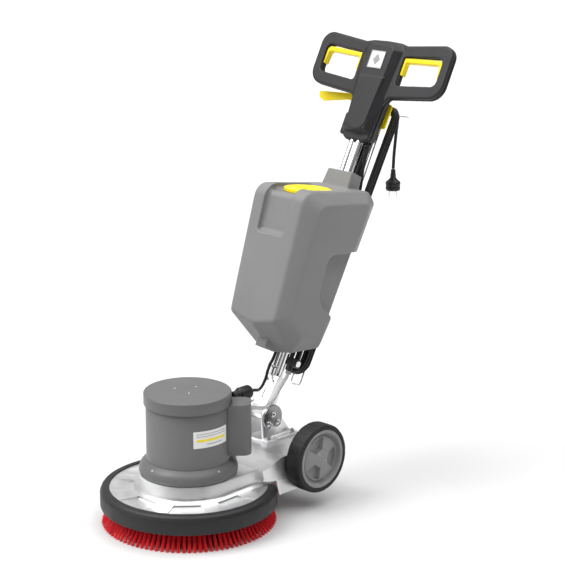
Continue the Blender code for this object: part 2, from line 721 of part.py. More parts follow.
NOTCH_WALL_OUTLINE = [
    (0.070, 0.477), (0.0025, 0.4580), (-0.068, 0.4290), (-0.0826, 0.4080), (-0.0665, 0.3180),
    (-0.0386, 0.2886), (0.0257, 0.2740), (0.070, 0.255),
]


def channel(name, wall):
    """The way for the tubes down the tank's rear, or that way with its walls."""
    low = (-CHANNEL_HALF_WIDTH - wall, CHANNEL_FRONT - wall, 0.10)
    return box(name, low, (CHANNEL_HALF_WIDTH + wall, 0.06, 0.70), TANK_PLASTIC, HANDLE)


def tank_extrusion(name, outline, near, far):
    """A side-view outline of the tank carried across its width."""
    return extrude(name, outline, min(near, far), max(near, far), TANK_PLASTIC, HANDLE, "YZ")


cut(hollow, channel("channel_wall", TANK_WALL))
cut(hollow, tank_extrusion("recess_wall", RECESS_WALL_OUTLINE, -0.053, 0.053))
cut(hollow, tank_extrusion("seat_wall", SEAT_WALL_OUTLINE, -0.0710, 0.0710))
for side_name, side in (("left", -1.0), ("right", 1.0)):
    cut(hollow, tank_extrusion(f"notch_wall_{side_name}", NOTCH_WALL_OUTLINE, side * 0.0815, side * 0.15))
cut(tank, hollow)
cut(tank, channel("tank_channel", 0.0))
cut(tank, tank_extrusion("tank_recess", RECESS_OUTLINE, -0.048, 0.048))
cut(tank, tank_extrusion("tank_seat", SEAT_OUTLINE, -0.0665, 0.0665))
for side_name, side in (("left", -1.0), ("right", 1.0)):
    cut(tank, tank_extrusion(f"tank_notch_{side_name}", NOTCH_OUTLINE, side * 0.086, side * 0.15))
CAP_BACK = -0.1143
CAP_SEAT = 0.5607
TANK_CAP_FRAME = (
    HANDLE
    @ Matrix.Translation((0.0, CAP_BACK, CAP_SEAT))
    @ Matrix.Rotation(math.radians(CAP_TILT), 4, "X")
)
cut(tank, disc("filler_mouth", 0.0500, -0.05, 0.02, TANK_PLASTIC, TANK_CAP_FRAME, segments=32))
lathe("tank_cap", [
    (0.0, 0.0090),
    (0.0590, 0.0090),
    (TANK_CAP_RADIUS, 0.0060),
    (TANK_CAP_RADIUS, GAP),
    (0.0480, GAP),
    (0.0480, -0.0100),
    (0.0450, -0.0100),
    (0.0450, 0.0060),
    (0.0, 0.0060),
], YELLOW_PLASTIC, TANK_CAP_FRAME, segments=32)
HOSE_X = 0.0345
HOSE_BACK = 0.004
tank_valve = box("tank_valve", (0.0237, -0.0040, 0.1300), (0.0450, 0.028, 0.1520), BLACK_PLASTIC, HANDLE)
soften(tank_valve, 0.002, 1)
unite(tank_valve, disc("valve_inlet", 0.0075, 0.145, 0.1795, BLACK_PLASTIC, HANDLE, (HOSE_X, 0.020, 0.0),
                       segments=12))
unite(tank_valve, disc("valve_outlet", 0.0062, 0.1125, 0.140, BLACK_PLASTIC, HANDLE,
                       (HOSE_X, HOSE_BACK, 0.0), segments=12))

# ---------------------------------------------------------------- cord hooks
LOWER_HOOK_ALONG = 0.1512
LOWER_HOOK_BACK = 0.083
hook_side = [
    (0.016, 0.0112, LOWER_HOOK_ALONG),
    (0.016, 0.074, LOWER_HOOK_ALONG),
    (0.016, 0.0805, LOWER_HOOK_ALONG - 0.003),
    (0.016, LOWER_HOOK_BACK, LOWER_HOOK_ALONG - 0.010),
    (0.016, LOWER_HOOK_BACK, 0.102),
    (0.0135, LOWER_HOOK_BACK, 0.0965),
    (0.008, LOWER_HOOK_BACK, 0.0945),
]
sweep("lower_cord_hook", hook_side + mirrored(hook_side), HOOK_WIRE_RADIUS, CHROME, HANDLE, 8)
CLAMP_ALONG = 0.505
rod_side = [
    (0.0045, 0.0685, CLAMP_ALONG + 0.0085),
    (0.0045, 0.0685, 0.826),
    (0.0045, 0.0705, 0.8350),
    (0.0045, 0.0780, 0.8410),
    (0.0045, 0.1570, 0.8642),
    (0.0035, 0.1600, 0.8651),
]
sweep("upper_cord_hook", rod_side + mirrored(rod_side), HOOK_WIRE_RADIUS - 0.0003, CHROME, HANDLE, 8)
hook_clamp = box("hook_clamp", (-0.0090, 0.0106, CLAMP_ALONG - 0.012), (0.0090, 0.0740, CLAMP_ALONG + 0.008),
                 STEEL, HANDLE)
cut(hook_clamp, disc("lock_rod_way", 0.0040, 0.40, 0.60, STEEL, HANDLE, (0.0, 0.0165, 0.0), segments=12))

# ---------------------------------------------------------------- head
LOOP_FRONT = -0.0125
LOOP_BACK = 0.0105
half_head = [
    (0.0, 1.0150, 0.0),
    (0.0480, 1.0130, 0.010),
    (0.0700, 1.0080, 0.010),
    (0.2240, 1.0250, 0.033),
    (0.2240, 0.8790, 0.042),
    (0.0640, 0.8620, 0.010),
    (0.0500, 0.8400, 0.0),
    (0.0470, 0.7900, 0.0),
    (0.0440, 0.7460, 0.008),
    (0.0300, HEAD_BOTTOM, 0.0),
]
head_corners = half_head + [(-x, z, r) for x, z, r in reversed(half_head[1:])]
head_outline = rounded(head_corners)
opening_outline = rounded([
    (0.0717, 0.9775, 0.008),
    (0.1985, 0.9880, 0.016),
    (0.1985, 0.9095, 0.016),
    (0.0717, 0.8975, 0.008),
])


def cut_head(shell):
    """Opens the two grips and the tube sockets in a head shell."""
    for side_name, side in (("left", -1.0), ("right", 1.0)):
        opening = [(side * x, z) for x, z in opening_outline]
        tool = extrude(f"{shell.name}_grip_{side_name}", opening, -0.05, 0.05, HEAD_PLASTIC, HANDLE, "XZ")
        cut(shell, tool)
        socket = disc(f"{shell.name}_socket_{side_name}", TUBE_RADIUS + GAP, 0.70, TUBE_END + 0.002,
                      HEAD_PLASTIC, HANDLE, (side * TUBE_OFFSET, 0.0, 0.0), segments=16)
        cut(shell, socket)


front_shell = extrude("head_front_shell", head_outline, LOOP_FRONT, -SPLIT, HEAD_PLASTIC, HANDLE, "XZ")
soften(front_shell, 0.005, 1)
front_low = [(-0.0490, 0.757), (0.0490, 0.757), (0.0690, 0.990), (0.0520, 1.0085), (-0.0520, 1.0085),
             (-0.0690, 0.990)]
front_high = [(-0.0310, 0.770), (0.0310, 0.770), (0.0430, 0.985), (0.0340, 0.997), (-0.0340, 0.997),
              (-0.0430, 0.985)]
front_loops = [[(x, back, z) for x, z in outline]
               for outline, back in ((front_low, -0.0100), (front_high, -0.0300))]
unite(front_shell, loft("front_bulge", front_loops, HEAD_PLASTIC, HANDLE))
cut(front_shell, box("front_hollow", (-0.036, -0.0240, 0.790), (0.036, 0.02, 0.985), HEAD_PLASTIC, HANDLE))
cut_head(front_shell)
rear_shell = extrude("head_rear_shell", head_outline, SPLIT, LOOP_BACK, HEAD_PLASTIC, HANDLE, "XZ")
soften(rear_shell, 0.005, 1)
rear_low = [(-0.0400, 0.7440), (0.0400, 0.7440), (0.0600, 0.985), (0.0480, 1.0060), (-0.0480, 1.0060),
            (-0.0640, 0.985)]
rear_high = [(-0.0400, 0.748), (0.0360, 0.748), (0.0450, 0.965), (0.0360, 0.990), (-0.0360, 0.990),
             (-0.0450, 0.965)]
rear_loops = [[(x, back, z) for x, z in outline]
              for outline, back in ((rear_low, 0.0050), (rear_high, 0.0300))]
unite(rear_shell, loft("rear_bulge", rear_loops, HEAD_PLASTIC, HANDLE))
cord_entry = box("cord_entry", (-0.070, 0.0009, 0.7537), (-0.039, 0.0172, 0.8130), HEAD_PLASTIC, HANDLE)
unite(rear_shell, cord_entry)
cut(rear_shell, box("rear_hollow", (-0.032, -0.02, 0.790), (0.032, 0.0240, 0.960), HEAD_PLASTIC, HANDLE))
cut(rear_shell, disc("rod_way", 0.0040, 0.70, 0.80, HEAD_PLASTIC, HANDLE, (0.0, 0.0165, 0.0), segments=12))
cut_head(rear_shell)
box("name_badge", (-0.024, -0.0313, 0.931), (0.024, -0.0303, 0.979), LABEL, HANDLE)
safety_switch = box("safety_switch", (-0.014, -0.0090, 0.900), (0.014, 0.0120, 0.940), BLACK_PLASTIC, HANDLE)

LEVER_FRONT = -0.0080
LEVER_BACK = 0.0100
LEVER_PIVOT = (0.0790, 0.9690)
lever_outline = [
    (0.0728, 0.9290),
    (0.0728, 0.9735),
    (0.0745, 0.9755),
    (0.1860, 0.9808),
    (0.1935, 0.9760),
    (0.1965, 0.9690),
    (0.1965, 0.9330),
    (0.1930, 0.9330),
    (0.1890, 0.9640),
    (0.1850, 0.9690),
    (0.0790, 0.9640),
    (0.0790, 0.9290),
]
for side_name, side in (("left", -1.0), ("right", 1.0)):
    pivot = (side * LEVER_PIVOT[0], 0.0, LEVER_PIVOT[1])
    outline = [(side * x - pivot[0], z - pivot[2]) for x, z in lever_outline]
    extrude(f"switch_lever_{side_name}", outline, LEVER_FRONT, LEVER_BACK, YELLOW_PLASTIC, HANDLE, "XZ", pivot)
RELEASE_PIVOT = (0.020, 0.8200)
release_outline = [
    (0.050, 0.790),
    (0.050, 0.856),
    (-0.040, 0.871),
    (-0.108, 0.8715),
    (-0.2130, 0.8655),
    (-0.2050, 0.8480),
    (-0.1870, 0.8400),
    (-0.108, 0.8530),
    (-0.046, 0.8520),
    (-0.038, 0.790),
]
release_pivot = (RELEASE_PIVOT[0], 0.0, RELEASE_PIVOT[1])
release_points = [(x - RELEASE_PIVOT[0], z - RELEASE_PIVOT[1]) for x, z in release_outline]
extrude("release_lever", release_points, 0.0303, 0.0350, YELLOW_PLASTIC, HANDLE, "XZ", release_pivot)

# ---------------------------------------------------------------- cords, cables and hose
gland_frame = HANDLE @ Matrix.Translation((0.030, 0.0100, HEAD_BOTTOM - GAP)) @ Matrix.Rotation(
    math.radians(180.0 + 14.0), 4, "X")
lathe("mains_gland", [
    (0.0, 0.0012),
    (0.0085, 0.0025),
    (0.0085, 0.0060),
    (0.0066, 0.0090),
    (0.0054, 0.0480),
    (0.0, 0.0480),
], BLACK_PLASTIC, gland_frame, segments=14)
lead_route = [
    (0.0300, 0.0226, 0.6908),
    (0.0302, 0.0262, 0.6740),
    (0.0304, 0.0305, 0.6580),
    (0.0302, 0.0345, 0.6420),
    (0.0295, 0.0368, 0.6270),
]
sweep("mains_lead", smooth_path(lead_route, 3), CORD_RADIUS, BLACK_PLASTIC, HANDLE, 8)

HANK_TOP = 0.8300
HANK_TOP_BEND = 0.0295
HANK_BOTTOM = 0.1580
HANK_BOTTOM_BEND = 0.0325


def hank_point(across, along):
    """The wound cord leans back as it rises from the lower hook to the upper hook."""
    return across, 0.0575 + (along - 0.125) * 0.03197, along


def hank_arm(side, start, end):
    """Points down or up one arm of the hank, each given as (bend, along) at its ends."""
    points = []
    for step in range(1, 8):
        part = step / 8
        bend = start[0] + (end[0] - start[0]) * part
        points.append(hank_point(side * bend, start[1] + (end[1] - start[1]) * part))
    return points


top_end = (HANK_TOP_BEND, HANK_TOP)
bottom_end = (HANK_BOTTOM_BEND, HANK_BOTTOM)
hank_path = [hank_point(across, along) for across, along in arc((0.0, HANK_TOP), HANK_TOP_BEND, 0.0, 180.0, 10)]
hank_path += hank_arm(-1.0, top_end, bottom_end)
hank_path += [
    hank_point(across, along) for across, along in arc((0.0, HANK_BOTTOM), HANK_BOTTOM_BEND, 180.0, 360.0, 10)
]
hank_path += hank_arm(1.0, bottom_end, top_end)
sweep("cord_hank", hank_path, HANK_RADIUS, BLACK_PLASTIC, HANDLE, 8, closed=True)

plug_route = [
    (-0.0400, 0.1005, 0.8290),
    (-0.0350, 0.1005, 0.8480),
    (-0.0210, 0.1003, 0.8630),
    (-0.0030, 0.1003, 0.8660),
    (0.0110, 0.1012, 0.8600),
    (0.0180, 0.1060, 0.8420),
    (0.0180, 0.1170, 0.8110),
    (0.0160, 0.1310, 0.7800),
    (0.0135, 0.1450, 0.7520),
    (0.0120, 0.1610, 0.7216),
]
sweep("plug_lead", smooth_path(plug_route, 3), CORD_RADIUS, BLACK_PLASTIC, HANDLE, 8)
PLUG_TOP = DECK.inverted() @ HANDLE @ Vector(plug_route[-1])
plug = lathe("mains_plug", [
    (0.0, -0.0020),
    (0.0058, -0.0020),
    (0.0072, -0.0200),
    (0.0085, -0.0250),
    (0.0150, -0.0330),
    (0.0195, -0.0360),
    (0.0200, -0.0400),
    (0.0200, -0.0560),
    (0.0185, -0.0580),
    (0.0, -0.0580),
], BLACK_PLASTIC, DECK, PLUG_TOP, segments=16)
for side in (-1.0, 1.0):
    pin_place = PLUG_TOP + Vector((side * 0.0068, side * 0.0066, 0.0))
    unite(plug, disc(f"plug_pin_{side:.0f}", 0.0024, -0.0765, -0.055, CHROME, DECK, pin_place, segments=8))

cable_route = [
    HANDLE.inverted() @ DECK @ Vector((BOOT_X, BOOT_REAR + 2 * GAP, BOOT_Z)),
    (0.0450, -0.1148, 0.0370),
    (0.0445, -0.1071, 0.0395),
    (0.0415, -0.0968, 0.0415),
    (0.0370, -0.0870, 0.0433),
    (0.0300, -0.0736, 0.0482),
    (0.0180, -0.0545, 0.0610),
    (0.0040, -0.0370, 0.0820),
    (-0.0080, -0.0256, 0.0992),
    (-0.0125, -0.0205, 0.1180),
    (-0.0120, -0.0175, 0.1320),
    (-0.0115, -0.0162, 0.1500),
    (-0.0085, -0.0160, 0.2000),
    (-0.0085, -0.0160, 0.2800),
]
sweep("motor_cable", smooth_path(cable_route, 3), MOTOR_CABLE_RADIUS, BLACK_PLASTIC, HANDLE, 6)

# The hose route is in the deck's own frame: across, rearwards, up.
hose_route = [
    DECK.inverted() @ HANDLE @ Vector((HOSE_X, HOSE_BACK, 0.1112)),
    (0.0360, 0.3095, 0.3022),
    (0.0420, 0.2779, 0.2807),
    (0.0480, 0.2496, 0.2601),
    (0.0510, 0.2189, 0.2505),
    (0.0550, 0.1939, 0.2555),
    (0.0580, 0.1680, 0.2630),
    (0.0530, 0.1500, 0.2600),
    (0.0420, 0.1430, 0.2460),
    (0.0280, 0.1400, 0.2200),
    (0.0160, 0.1410, 0.1870),
    (0.0100, 0.1430, 0.1580),
    (0.0100, 0.1430, 0.1365),
]
sweep("water_hose", smooth_path(hose_route, 3), HOSE_RADIUS, CLEAR_HOSE, DECK, 6)
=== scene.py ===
"""Looks of the single-disc floor machine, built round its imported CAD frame."""

import json
import math
import random

import bmesh
import bpy
from mathutils import Matrix, Vector


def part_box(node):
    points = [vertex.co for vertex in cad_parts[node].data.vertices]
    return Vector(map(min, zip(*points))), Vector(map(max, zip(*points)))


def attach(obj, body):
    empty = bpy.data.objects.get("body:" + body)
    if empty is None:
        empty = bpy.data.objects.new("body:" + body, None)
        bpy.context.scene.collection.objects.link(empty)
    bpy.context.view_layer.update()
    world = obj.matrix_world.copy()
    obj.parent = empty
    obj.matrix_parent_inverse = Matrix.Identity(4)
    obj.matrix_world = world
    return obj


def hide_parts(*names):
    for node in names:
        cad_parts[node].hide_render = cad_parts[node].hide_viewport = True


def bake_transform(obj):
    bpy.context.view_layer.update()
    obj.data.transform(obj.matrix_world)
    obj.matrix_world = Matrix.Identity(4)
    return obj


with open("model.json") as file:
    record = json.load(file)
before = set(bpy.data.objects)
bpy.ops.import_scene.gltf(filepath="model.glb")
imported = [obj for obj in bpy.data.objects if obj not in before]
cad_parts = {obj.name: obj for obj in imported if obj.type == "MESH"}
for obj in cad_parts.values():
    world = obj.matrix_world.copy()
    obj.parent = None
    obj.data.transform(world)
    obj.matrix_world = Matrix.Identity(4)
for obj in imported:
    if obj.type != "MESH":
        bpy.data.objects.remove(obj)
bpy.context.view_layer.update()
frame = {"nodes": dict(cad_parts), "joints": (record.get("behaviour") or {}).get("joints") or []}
JOINTS = {joint["name"]: joint for joint in frame["joints"]}

# ---------------------------------------------------------------- driving sizes, metres
DECK_AXIS = Vector((0.0, JOINTS["brush_spin"]["pos_m"][1], 0.0))
PIVOT = Vector(JOINTS["handle_tilt"]["pos_m"])
HANDLE_LEAN = 28.0
CAPACITOR_BOX_TURN = 44.0
BUMPER_RADIUS = 0.22
DECK_RADIUS = 0.1997
RIM_HEIGHT = 0.09
PLATEAU_HEIGHT = 0.13
PLATEAU_RADIUS = 0.1215
SHELF_HEIGHT = 0.1485
SHELF_HALF_WIDTH = 0.1415
SHELF_REAR = 0.352
MOTOR_RADIUS = 0.1035
CAP_RADIUS = 0.1083
CAP_BOTTOM = 0.3063
CAP_TOP = 0.336
TUBE_RADIUS = 0.01
TUBE_OFFSET = 0.0105
CORD_RADIUS = 0.0042
MOTOR_CABLE_RADIUS = 0.004
HOSE_RADIUS = 0.0048
GAP = 0.0003
SIDES = (("left", -1.0), ("right", 1.0))

DECK = Matrix.Translation(DECK_AXIS)
HANDLE = Matrix.Translation(PIVOT) @ Matrix.Rotation(math.radians(-HANDLE_LEAN), 4, "X")
CAPACITOR_FRAME = DECK @ Matrix.Rotation(math.radians(CAPACITOR_BOX_TURN), 4, "Z")
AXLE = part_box("axle")
AXLE_POINT = (AXLE[0] + AXLE[1]) / 2.0


# ---------------------------------------------------------------- materials
def fill(tree, socket, value):
    """Gives a node's input a plain value, or links another node's output to it."""
    if isinstance(value, bpy.types.NodeSocket):
        tree.links.new(value, socket)
    else:
        socket.default_value = value


def add_node(tree, kind, **inputs):
    """Adds a shader node; from_min=0.3 fills its input called From Min."""
    node = tree.nodes.new(kind)
    for name, value in inputs.items():
        fill(tree, node.inputs[name.replace("_", " ").title()], value)
    return node


def mix_colours(tree, factor, first, second):
    """Mixes two colours, each an RGBA tuple or another node's output."""
    node = add_node(tree, "ShaderNodeMix", factor=factor)
    node.data_type = "RGBA"
    sockets = [socket for socket in node.inputs if socket.type == "RGBA"]
    fill(tree, sockets[0], first)
    fill(tree, sockets[1], second)
    return [socket for socket in node.outputs if socket.type == "RGBA"][0]


def finish(name, colour, roughness, metallic=0.0, mottle=0.04, mottle_scale=9.0, grain=0.05,
           grain_scale=900.0, polish=0.05, scratch=0.0, wear=0.0, clear=0.0, grain_stretch=1.0):
    """A Principled surface with soft mottling, a fine grain, uneven polish, scratches and worn edges."""
    result = bpy.data.materials.new(name)
    result.use_nodes = True
    tree = result.node_tree
    shader = tree.nodes["Principled BSDF"]
    shader.inputs["Metallic"].default_value = metallic
    shader.inputs["Specular IOR Level"].default_value = 0.35
    shader.inputs["Transmission Weight"].default_value = clear
    place = tree.nodes.new("ShaderNodeTexCoord").outputs["Object"]

    def noise(scale, detail, stretch=(1.0, 1.0, 1.0)):
        mapping = add_node(tree, "ShaderNodeMapping", vector=place, scale=stretch)
        spot = mapping.outputs["Vector"]
        return add_node(tree, "ShaderNodeTexNoise", vector=spot, scale=scale, detail=detail).outputs["Fac"]

    def ranged(source, low, high, start=0.3, end=0.7):
        node = add_node(tree, "ShaderNodeMapRange", value=source, from_min=start, from_max=end, to_min=low,
                        to_max=high)
        return node.outputs["Result"]

    def shaded(scale, lift=0.0):
        return (*(min(1.0, channel * scale + lift) for channel in colour), 1.0)

    spread = ranged(noise(mottle_scale, 4.0), 0.0, 1.0)
    base = mix_colours(tree, spread, shaded(1.0 - mottle), shaded(1.0 + mottle))
    if wear:
        pointiness = tree.nodes.new("ShaderNodeNewGeometry").outputs["Pointiness"]
        base = mix_colours(tree, ranged(pointiness, 0.0, wear, 0.515, 0.6), base, shaded(1.5, 0.03))
    fill(tree, shader.inputs["Base Color"], base)
    rough = ranged(noise(mottle_scale * 3.0, 5.0), max(0.02, roughness - polish), roughness + polish)
    fill(tree, shader.inputs["Roughness"], rough)
    bump = add_node(tree, "ShaderNodeBump", strength=grain, distance=0.0006,
                    height=noise(grain_scale, 2.0, (1.0, 1.0, grain_stretch)))
    if scratch:
        bump = add_node(tree, "ShaderNodeBump", strength=scratch, distance=0.0004,
                        height=noise(70.0, 3.0, (1.0, 14.0, 14.0)), normal=bump.outputs["Normal"])
    fill(tree, shader.inputs["Normal"], bump.outputs["Normal"])
    return result


# After the colour: roughness, metallic, mottle, mottle scale, grain, grain scale, polish and scratch.
POLISHED = finish("polished_aluminium", (0.8, 0.8, 0.805), 0.36, 1.0, 0.03, 14.0, 0.03, 700.0, 0.06, 0.03)
CHROME = finish("chrome", (0.76, 0.76, 0.77), 0.07, 1.0, 0.02, 20.0, 0.01, 500.0, 0.03)
STEEL = finish("steel", (0.52, 0.52, 0.53), 0.32, 1.0, 0.06, 30.0, 0.05, 900.0, 0.08, 0.1)
PLATE_STEEL = finish("plate_steel", (0.28, 0.28, 0.285), 0.26, 1.0, 0.05, 24.0, 0.05, 900.0, 0.07, 0.05)
COPPER = finish("copper", (0.72, 0.38, 0.2), 0.38, 1.0, 0.12, 120.0, 0.35, 400.0, 0.08, grain_stretch=6.0)
MOTOR_PAINT = finish("motor_paint", (0.125, 0.125, 0.127), 0.42, 0.0, 0.03, 7.0, 0.1, 420.0, 0.06, wear=0.5)
TANK_PLASTIC = finish("tank_plastic", (0.205, 0.205, 0.205), 0.5, 0.0, 0.04, 6.0, 0.16, 1300.0, 0.06,
                      wear=0.35)
HEAD_PLASTIC = finish("head_plastic", (0.017, 0.017, 0.019), 0.46, 0.0, 0.06, 10.0, 0.16, 1500.0, 0.06,
                      wear=0.45)
BLACK_PLASTIC = finish("black_plastic", (0.012, 0.012, 0.013), 0.42, 0.0, 0.1, 20.0, 0.1, 1200.0, 0.07,
                       wear=0.4)
YELLOW_PLASTIC = finish("yellow_plastic", (0.87, 0.68, 0.0), 0.36, 0.0, 0.03, 12.0, 0.05, 1100.0, 0.06)
RIM_PLASTIC = finish("rim_plastic", (0.235, 0.235, 0.237), 0.42, 0.0, 0.04, 12.0, 0.08, 1100.0, 0.06,
                     wear=0.4)
TYRE_RUBBER = finish("tyre_rubber", (0.013, 0.013, 0.013), 0.62, 0.0, 0.14, 16.0, 0.22, 800.0, 0.1, wear=0.3)
BUMPER_RUBBER = finish("bumper_rubber", (0.013, 0.013, 0.014), 0.5, 0.0, 0.1, 12.0, 0.12, 900.0, 0.08,
                       wear=0.4)
CORD_RUBBER = finish("cord_rubber", (0.01, 0.01, 0.01), 0.45, 0.0, 0.1, 30.0, 0.08, 1500.0, 0.08)
BRISTLE = finish("bristle", (0.8, 0.012, 0.022), 0.42, 0.0, 0.16, 60.0, 0.1, 900.0, 0.08, grain_stretch=0.1)
CLEAR_HOSE = finish("clear_hose", (0.62, 0.63, 0.63), 0.16, 0.0, 0.03, 30.0, 0.03, 300.0, 0.04, clear=0.45)
WHITE_LABEL = finish("white_label", (0.8, 0.8, 0.79), 0.34, 0.0, 0.02, 18.0, 0.03, 600.0, 0.05)
YELLOW_LABEL = finish("yellow_label", (0.9, 0.72, 0.02), 0.34, 0.0, 0.02, 18.0, 0.03, 600.0, 0.05)
GREY_LABEL = finish("grey_label", (0.3, 0.3, 0.3), 0.34, 0.0, 0.02, 18.0, 0.03, 600.0, 0.05)


# ---------------------------------------------------------------- shape builders
def facing(point, direction, base=DECK):
    """A frame at a point of the base frame, with its Z along a direction."""
    return base @ Matrix.Translation(point) @ Vector(direction).to_track_quat("Z", "Y").to_matrix().to_4x4()


def solid(name, vertices, faces, place=Matrix.Identity(4)):
    """A mesh object with outward normals, its vertices in the row frame."""
    mesh = bpy.data.meshes.new(name)
    shape = bmesh.new()
    corners = [shape.verts.new(place @ Vector(point)) for point in vertices]
    for face in faces:
        shape.faces.new([corners[index] for index in face])
    bmesh.ops.recalc_face_normals(shape, faces=shape.faces)
    shape.to_mesh(mesh)
    shape.free()
    result = bpy.data.objects.new(name, mesh)
    bpy.context.scene.collection.objects.link(result)
    return result


def lathe(name, profile, place, origin=(0.0, 0.0, 0.0), axis="Z", segments=96):
    """Turns a closed (radius, height) profile about an axis through origin."""
    vertices = []
    rings = []
    for radius, height in profile:
        count = 1 if radius < 1e-9 else segments
        rings.append(range(len(vertices), len(vertices) + count))
        for step in range(count):
            angle = 2.0 * math.pi * step / segments
            across = radius * math.cos(angle)
            up = radius * math.sin(angle)
            point = {"Z": (across, up, height), "X": (height, across, up), "Y": (across, height, up)}
            vertices.append(Vector(point[axis]) + Vector(origin))
    faces = []
    for first, second in zip(rings, rings[1:] + rings[:1]):
        if len(first) == 1 and len(second) == 1:
            continue
        for step in range(segments):
            following = (step + 1) % segments
            corners = [first[step % len(first)], second[step % len(second)]]
            corners += [second[following % len(second)], first[following % len(first)]]
            faces.append(list(dict.fromkeys(corners)))
    return solid(name, vertices, faces, place)


def loft(name, loops, place):
    """Joins loops of equal length into a skin and closes both ends."""
    count = len(loops[0])
    vertices = [point for loop in loops for point in loop]
    faces = [list(range(count)), list(range((len(loops) - 1) * count, len(loops) * count))]
    for row in range(len(loops) - 1):
        for step in range(count):
            following = (step + 1) % count
            base = row * count
            faces.append([base + step, base + following, base + count + following, base + count + step])
    return solid(name, vertices, faces, place)


def extrude(name, outline, low, high, place, plane="XY"):
    """A flat outline carried from depth low to depth high."""
    order = {
        "XY": lambda first, second, depth: (first, second, depth),
        "XZ": lambda first, second, depth: (first, depth, second),
        "YZ": lambda first, second, depth: (depth, first, second),
    }[plane]
    return loft(name, [[order(*point, depth) for point in outline] for depth in (low, high)], place)


def block(name, low, high, place):
    """A rectangular block between two corners."""
    outline = [(low[0], low[1]), (high[0], low[1]), (high[0], high[1]), (low[0], high[1])]
    return extrude(name, outline, low[2], high[2], place)


def disc(name, radius, low, high, place, origin=(0.0, 0.0, 0.0), axis="Z", segments=64):
    """A solid cylinder."""
    profile = [(0.0, low), (radius, low), (radius, high), (0.0, high)]
    return lathe(name, profile, place, origin, axis, segments)


def rounded(corners, steps=8):
    """Rounds each (across, up, radius) corner of an outline with an arc."""
    outline = []
    for index, (across, up, radius) in enumerate(corners):
        here = Vector((across, up))
        before = Vector(corners[index - 1][:2]) - here
        after = Vector(corners[(index + 1) % len(corners)][:2]) - here
        if radius <= 0.0:
            outline.append((across, up))
            continue
        half = before.angle(after) / 2.0
        start = here + before.normalized() * (radius / math.tan(half))
        finish_point = here + after.normalized() * (radius / math.tan(half))
        centre = here + (before.normalized() + after.normalized()).normalized() * (radius / math.sin(half))
        turn = (start - centre).angle_signed(finish_point - centre)
        for step in range(steps + 1):
            arm = (start - centre).copy()
            arm.rotate(Matrix.Rotation(-turn * step / steps, 2))
            outline.append(tuple(centre + arm))
    return outline


def rounded_rectangle(half, low, high, radius):
    """An outline from -half to half and from low to high with round corners."""
    return rounded([(-half, low, radius), (half, low, radius), (half, high, radius), (-half, high, radius)])


def both_halves(half):
    """Completes a symmetric outline; a point on the middle line is used once."""
    return half + [(-x, z) for x, z in reversed(half) if x]


def polar(radius, angle, height):
    """The point at a radius and a turn in radians round the upright axis."""
    return radius * math.cos(angle), radius * math.sin(angle), height


def arc(centre, radius, start, end, steps):
    """Points of a circular arc, angles in degrees."""
    points = []
    for step in range(steps + 1):
        angle = math.radians(start + (end - start) * step / steps)
        points.append((centre[0] + radius * math.cos(angle), centre[1] + radius * math.sin(angle)))
    return points


def smooth_path(points, per_span):
    """A Catmull-Rom curve through the route points."""
    knots = [Vector(point) for point in points]
    knots = [2 * knots[0] - knots[1]] + knots + [2 * knots[-1] - knots[-2]]
    path = []
    for index in range(1, len(knots) - 2):
        before, here, there, after = knots[index - 1:index + 3]
        for step in range(per_span):
            along = step / per_span
            cubic = (-before + 3 * here - 3 * there + after) * along ** 3
            square = (2 * before - 5 * here + 4 * there - after) * along ** 2
            path.append(0.5 * (2 * here + (there - before) * along + square + cubic))
    path.append(knots[-2])
    return path


def sweep(name, path, radius, place, sides=16):
    """A rod along a path with flat ends."""
    points = [Vector(point) for point in path]
    count = len(points)
    normal = None
    vertices = []
    for index, point in enumerate(points):
        direction = points[min(index + 1, count - 1)] - points[max(index - 1, 0)]
        direction.normalize()
        if normal is None:
            helper = Vector((0.0, 1.0, 0.0)) if abs(direction.y) < 0.8 else Vector((1.0, 0.0, 0.0))
            normal = direction.cross(helper)
        normal = (normal - direction * normal.dot(direction)).normalized()
        other = direction.cross(normal)
        for side in range(sides):
            angle = 2.0 * math.pi * side / sides
            reach = normal * math.cos(angle) + other * math.sin(angle)
            vertices.append(point + reach * radius)
    faces = [list(range(sides)), list(range((count - 1) * sides, count * sides))]
    for index in range(count - 1):
        base = index * sides
        for side in range(sides):
            following = (side + 1) % sides
            faces.append([base + side, base + following, base + sides + following, base + sides + side])
    return solid(name, vertices, faces, place)


def apply_modifiers(body):
    """Turns a piece's modifiers into plain mesh."""
    graph = bpy.context.evaluated_depsgraph_get()
    graph.update()
    made = bpy.data.meshes.new_from_object(body.evaluated_get(graph))
    body.modifiers.clear()
    body.data = made


def combine(body, tools, operation):
    """Joins tools to a body, or cuts them from it, and removes them."""
    for tool in tools:
        step = body.modifiers.new("combine", "BOOLEAN")
        step.operation = operation
        step.object = tool
        step.solver = "EXACT"
    apply_modifiers(body)
    for tool in tools:
        bpy.data.objects.remove(tool, do_unlink=True)
    return body


def cut(body, *tools):
    return combine(body, tools, "DIFFERENCE")


def unite(body, *tools):
    return combine(body, tools, "UNION")


def soften(body, width, segments=3, angle=35.0):
    """Rounds the sharp edges of a piece."""
    step = body.modifiers.new("edges", "BEVEL")
    step.width = width
    step.segments = segments
    step.limit_method = "ANGLE"
    step.angle_limit = math.radians(angle)
    apply_modifiers(body)
    return body


def mould(body, cell, passes):
    """Gives a body the evenly rounded edges of a moulding."""
    remesh = body.modifiers.new("remesh", "REMESH")
    remesh.mode = "VOXEL"
    remesh.voxel_size = cell
    smooth = body.modifiers.new("smooth", "SMOOTH")
    smooth.factor = 0.5
    smooth.iterations = passes
    apply_modifiers(body)
    return body


def mirrored(points):
    """Mirrors route points across the middle plane and reverses their order."""
    return [(-x, y, z) for x, y, z in reversed(points)]


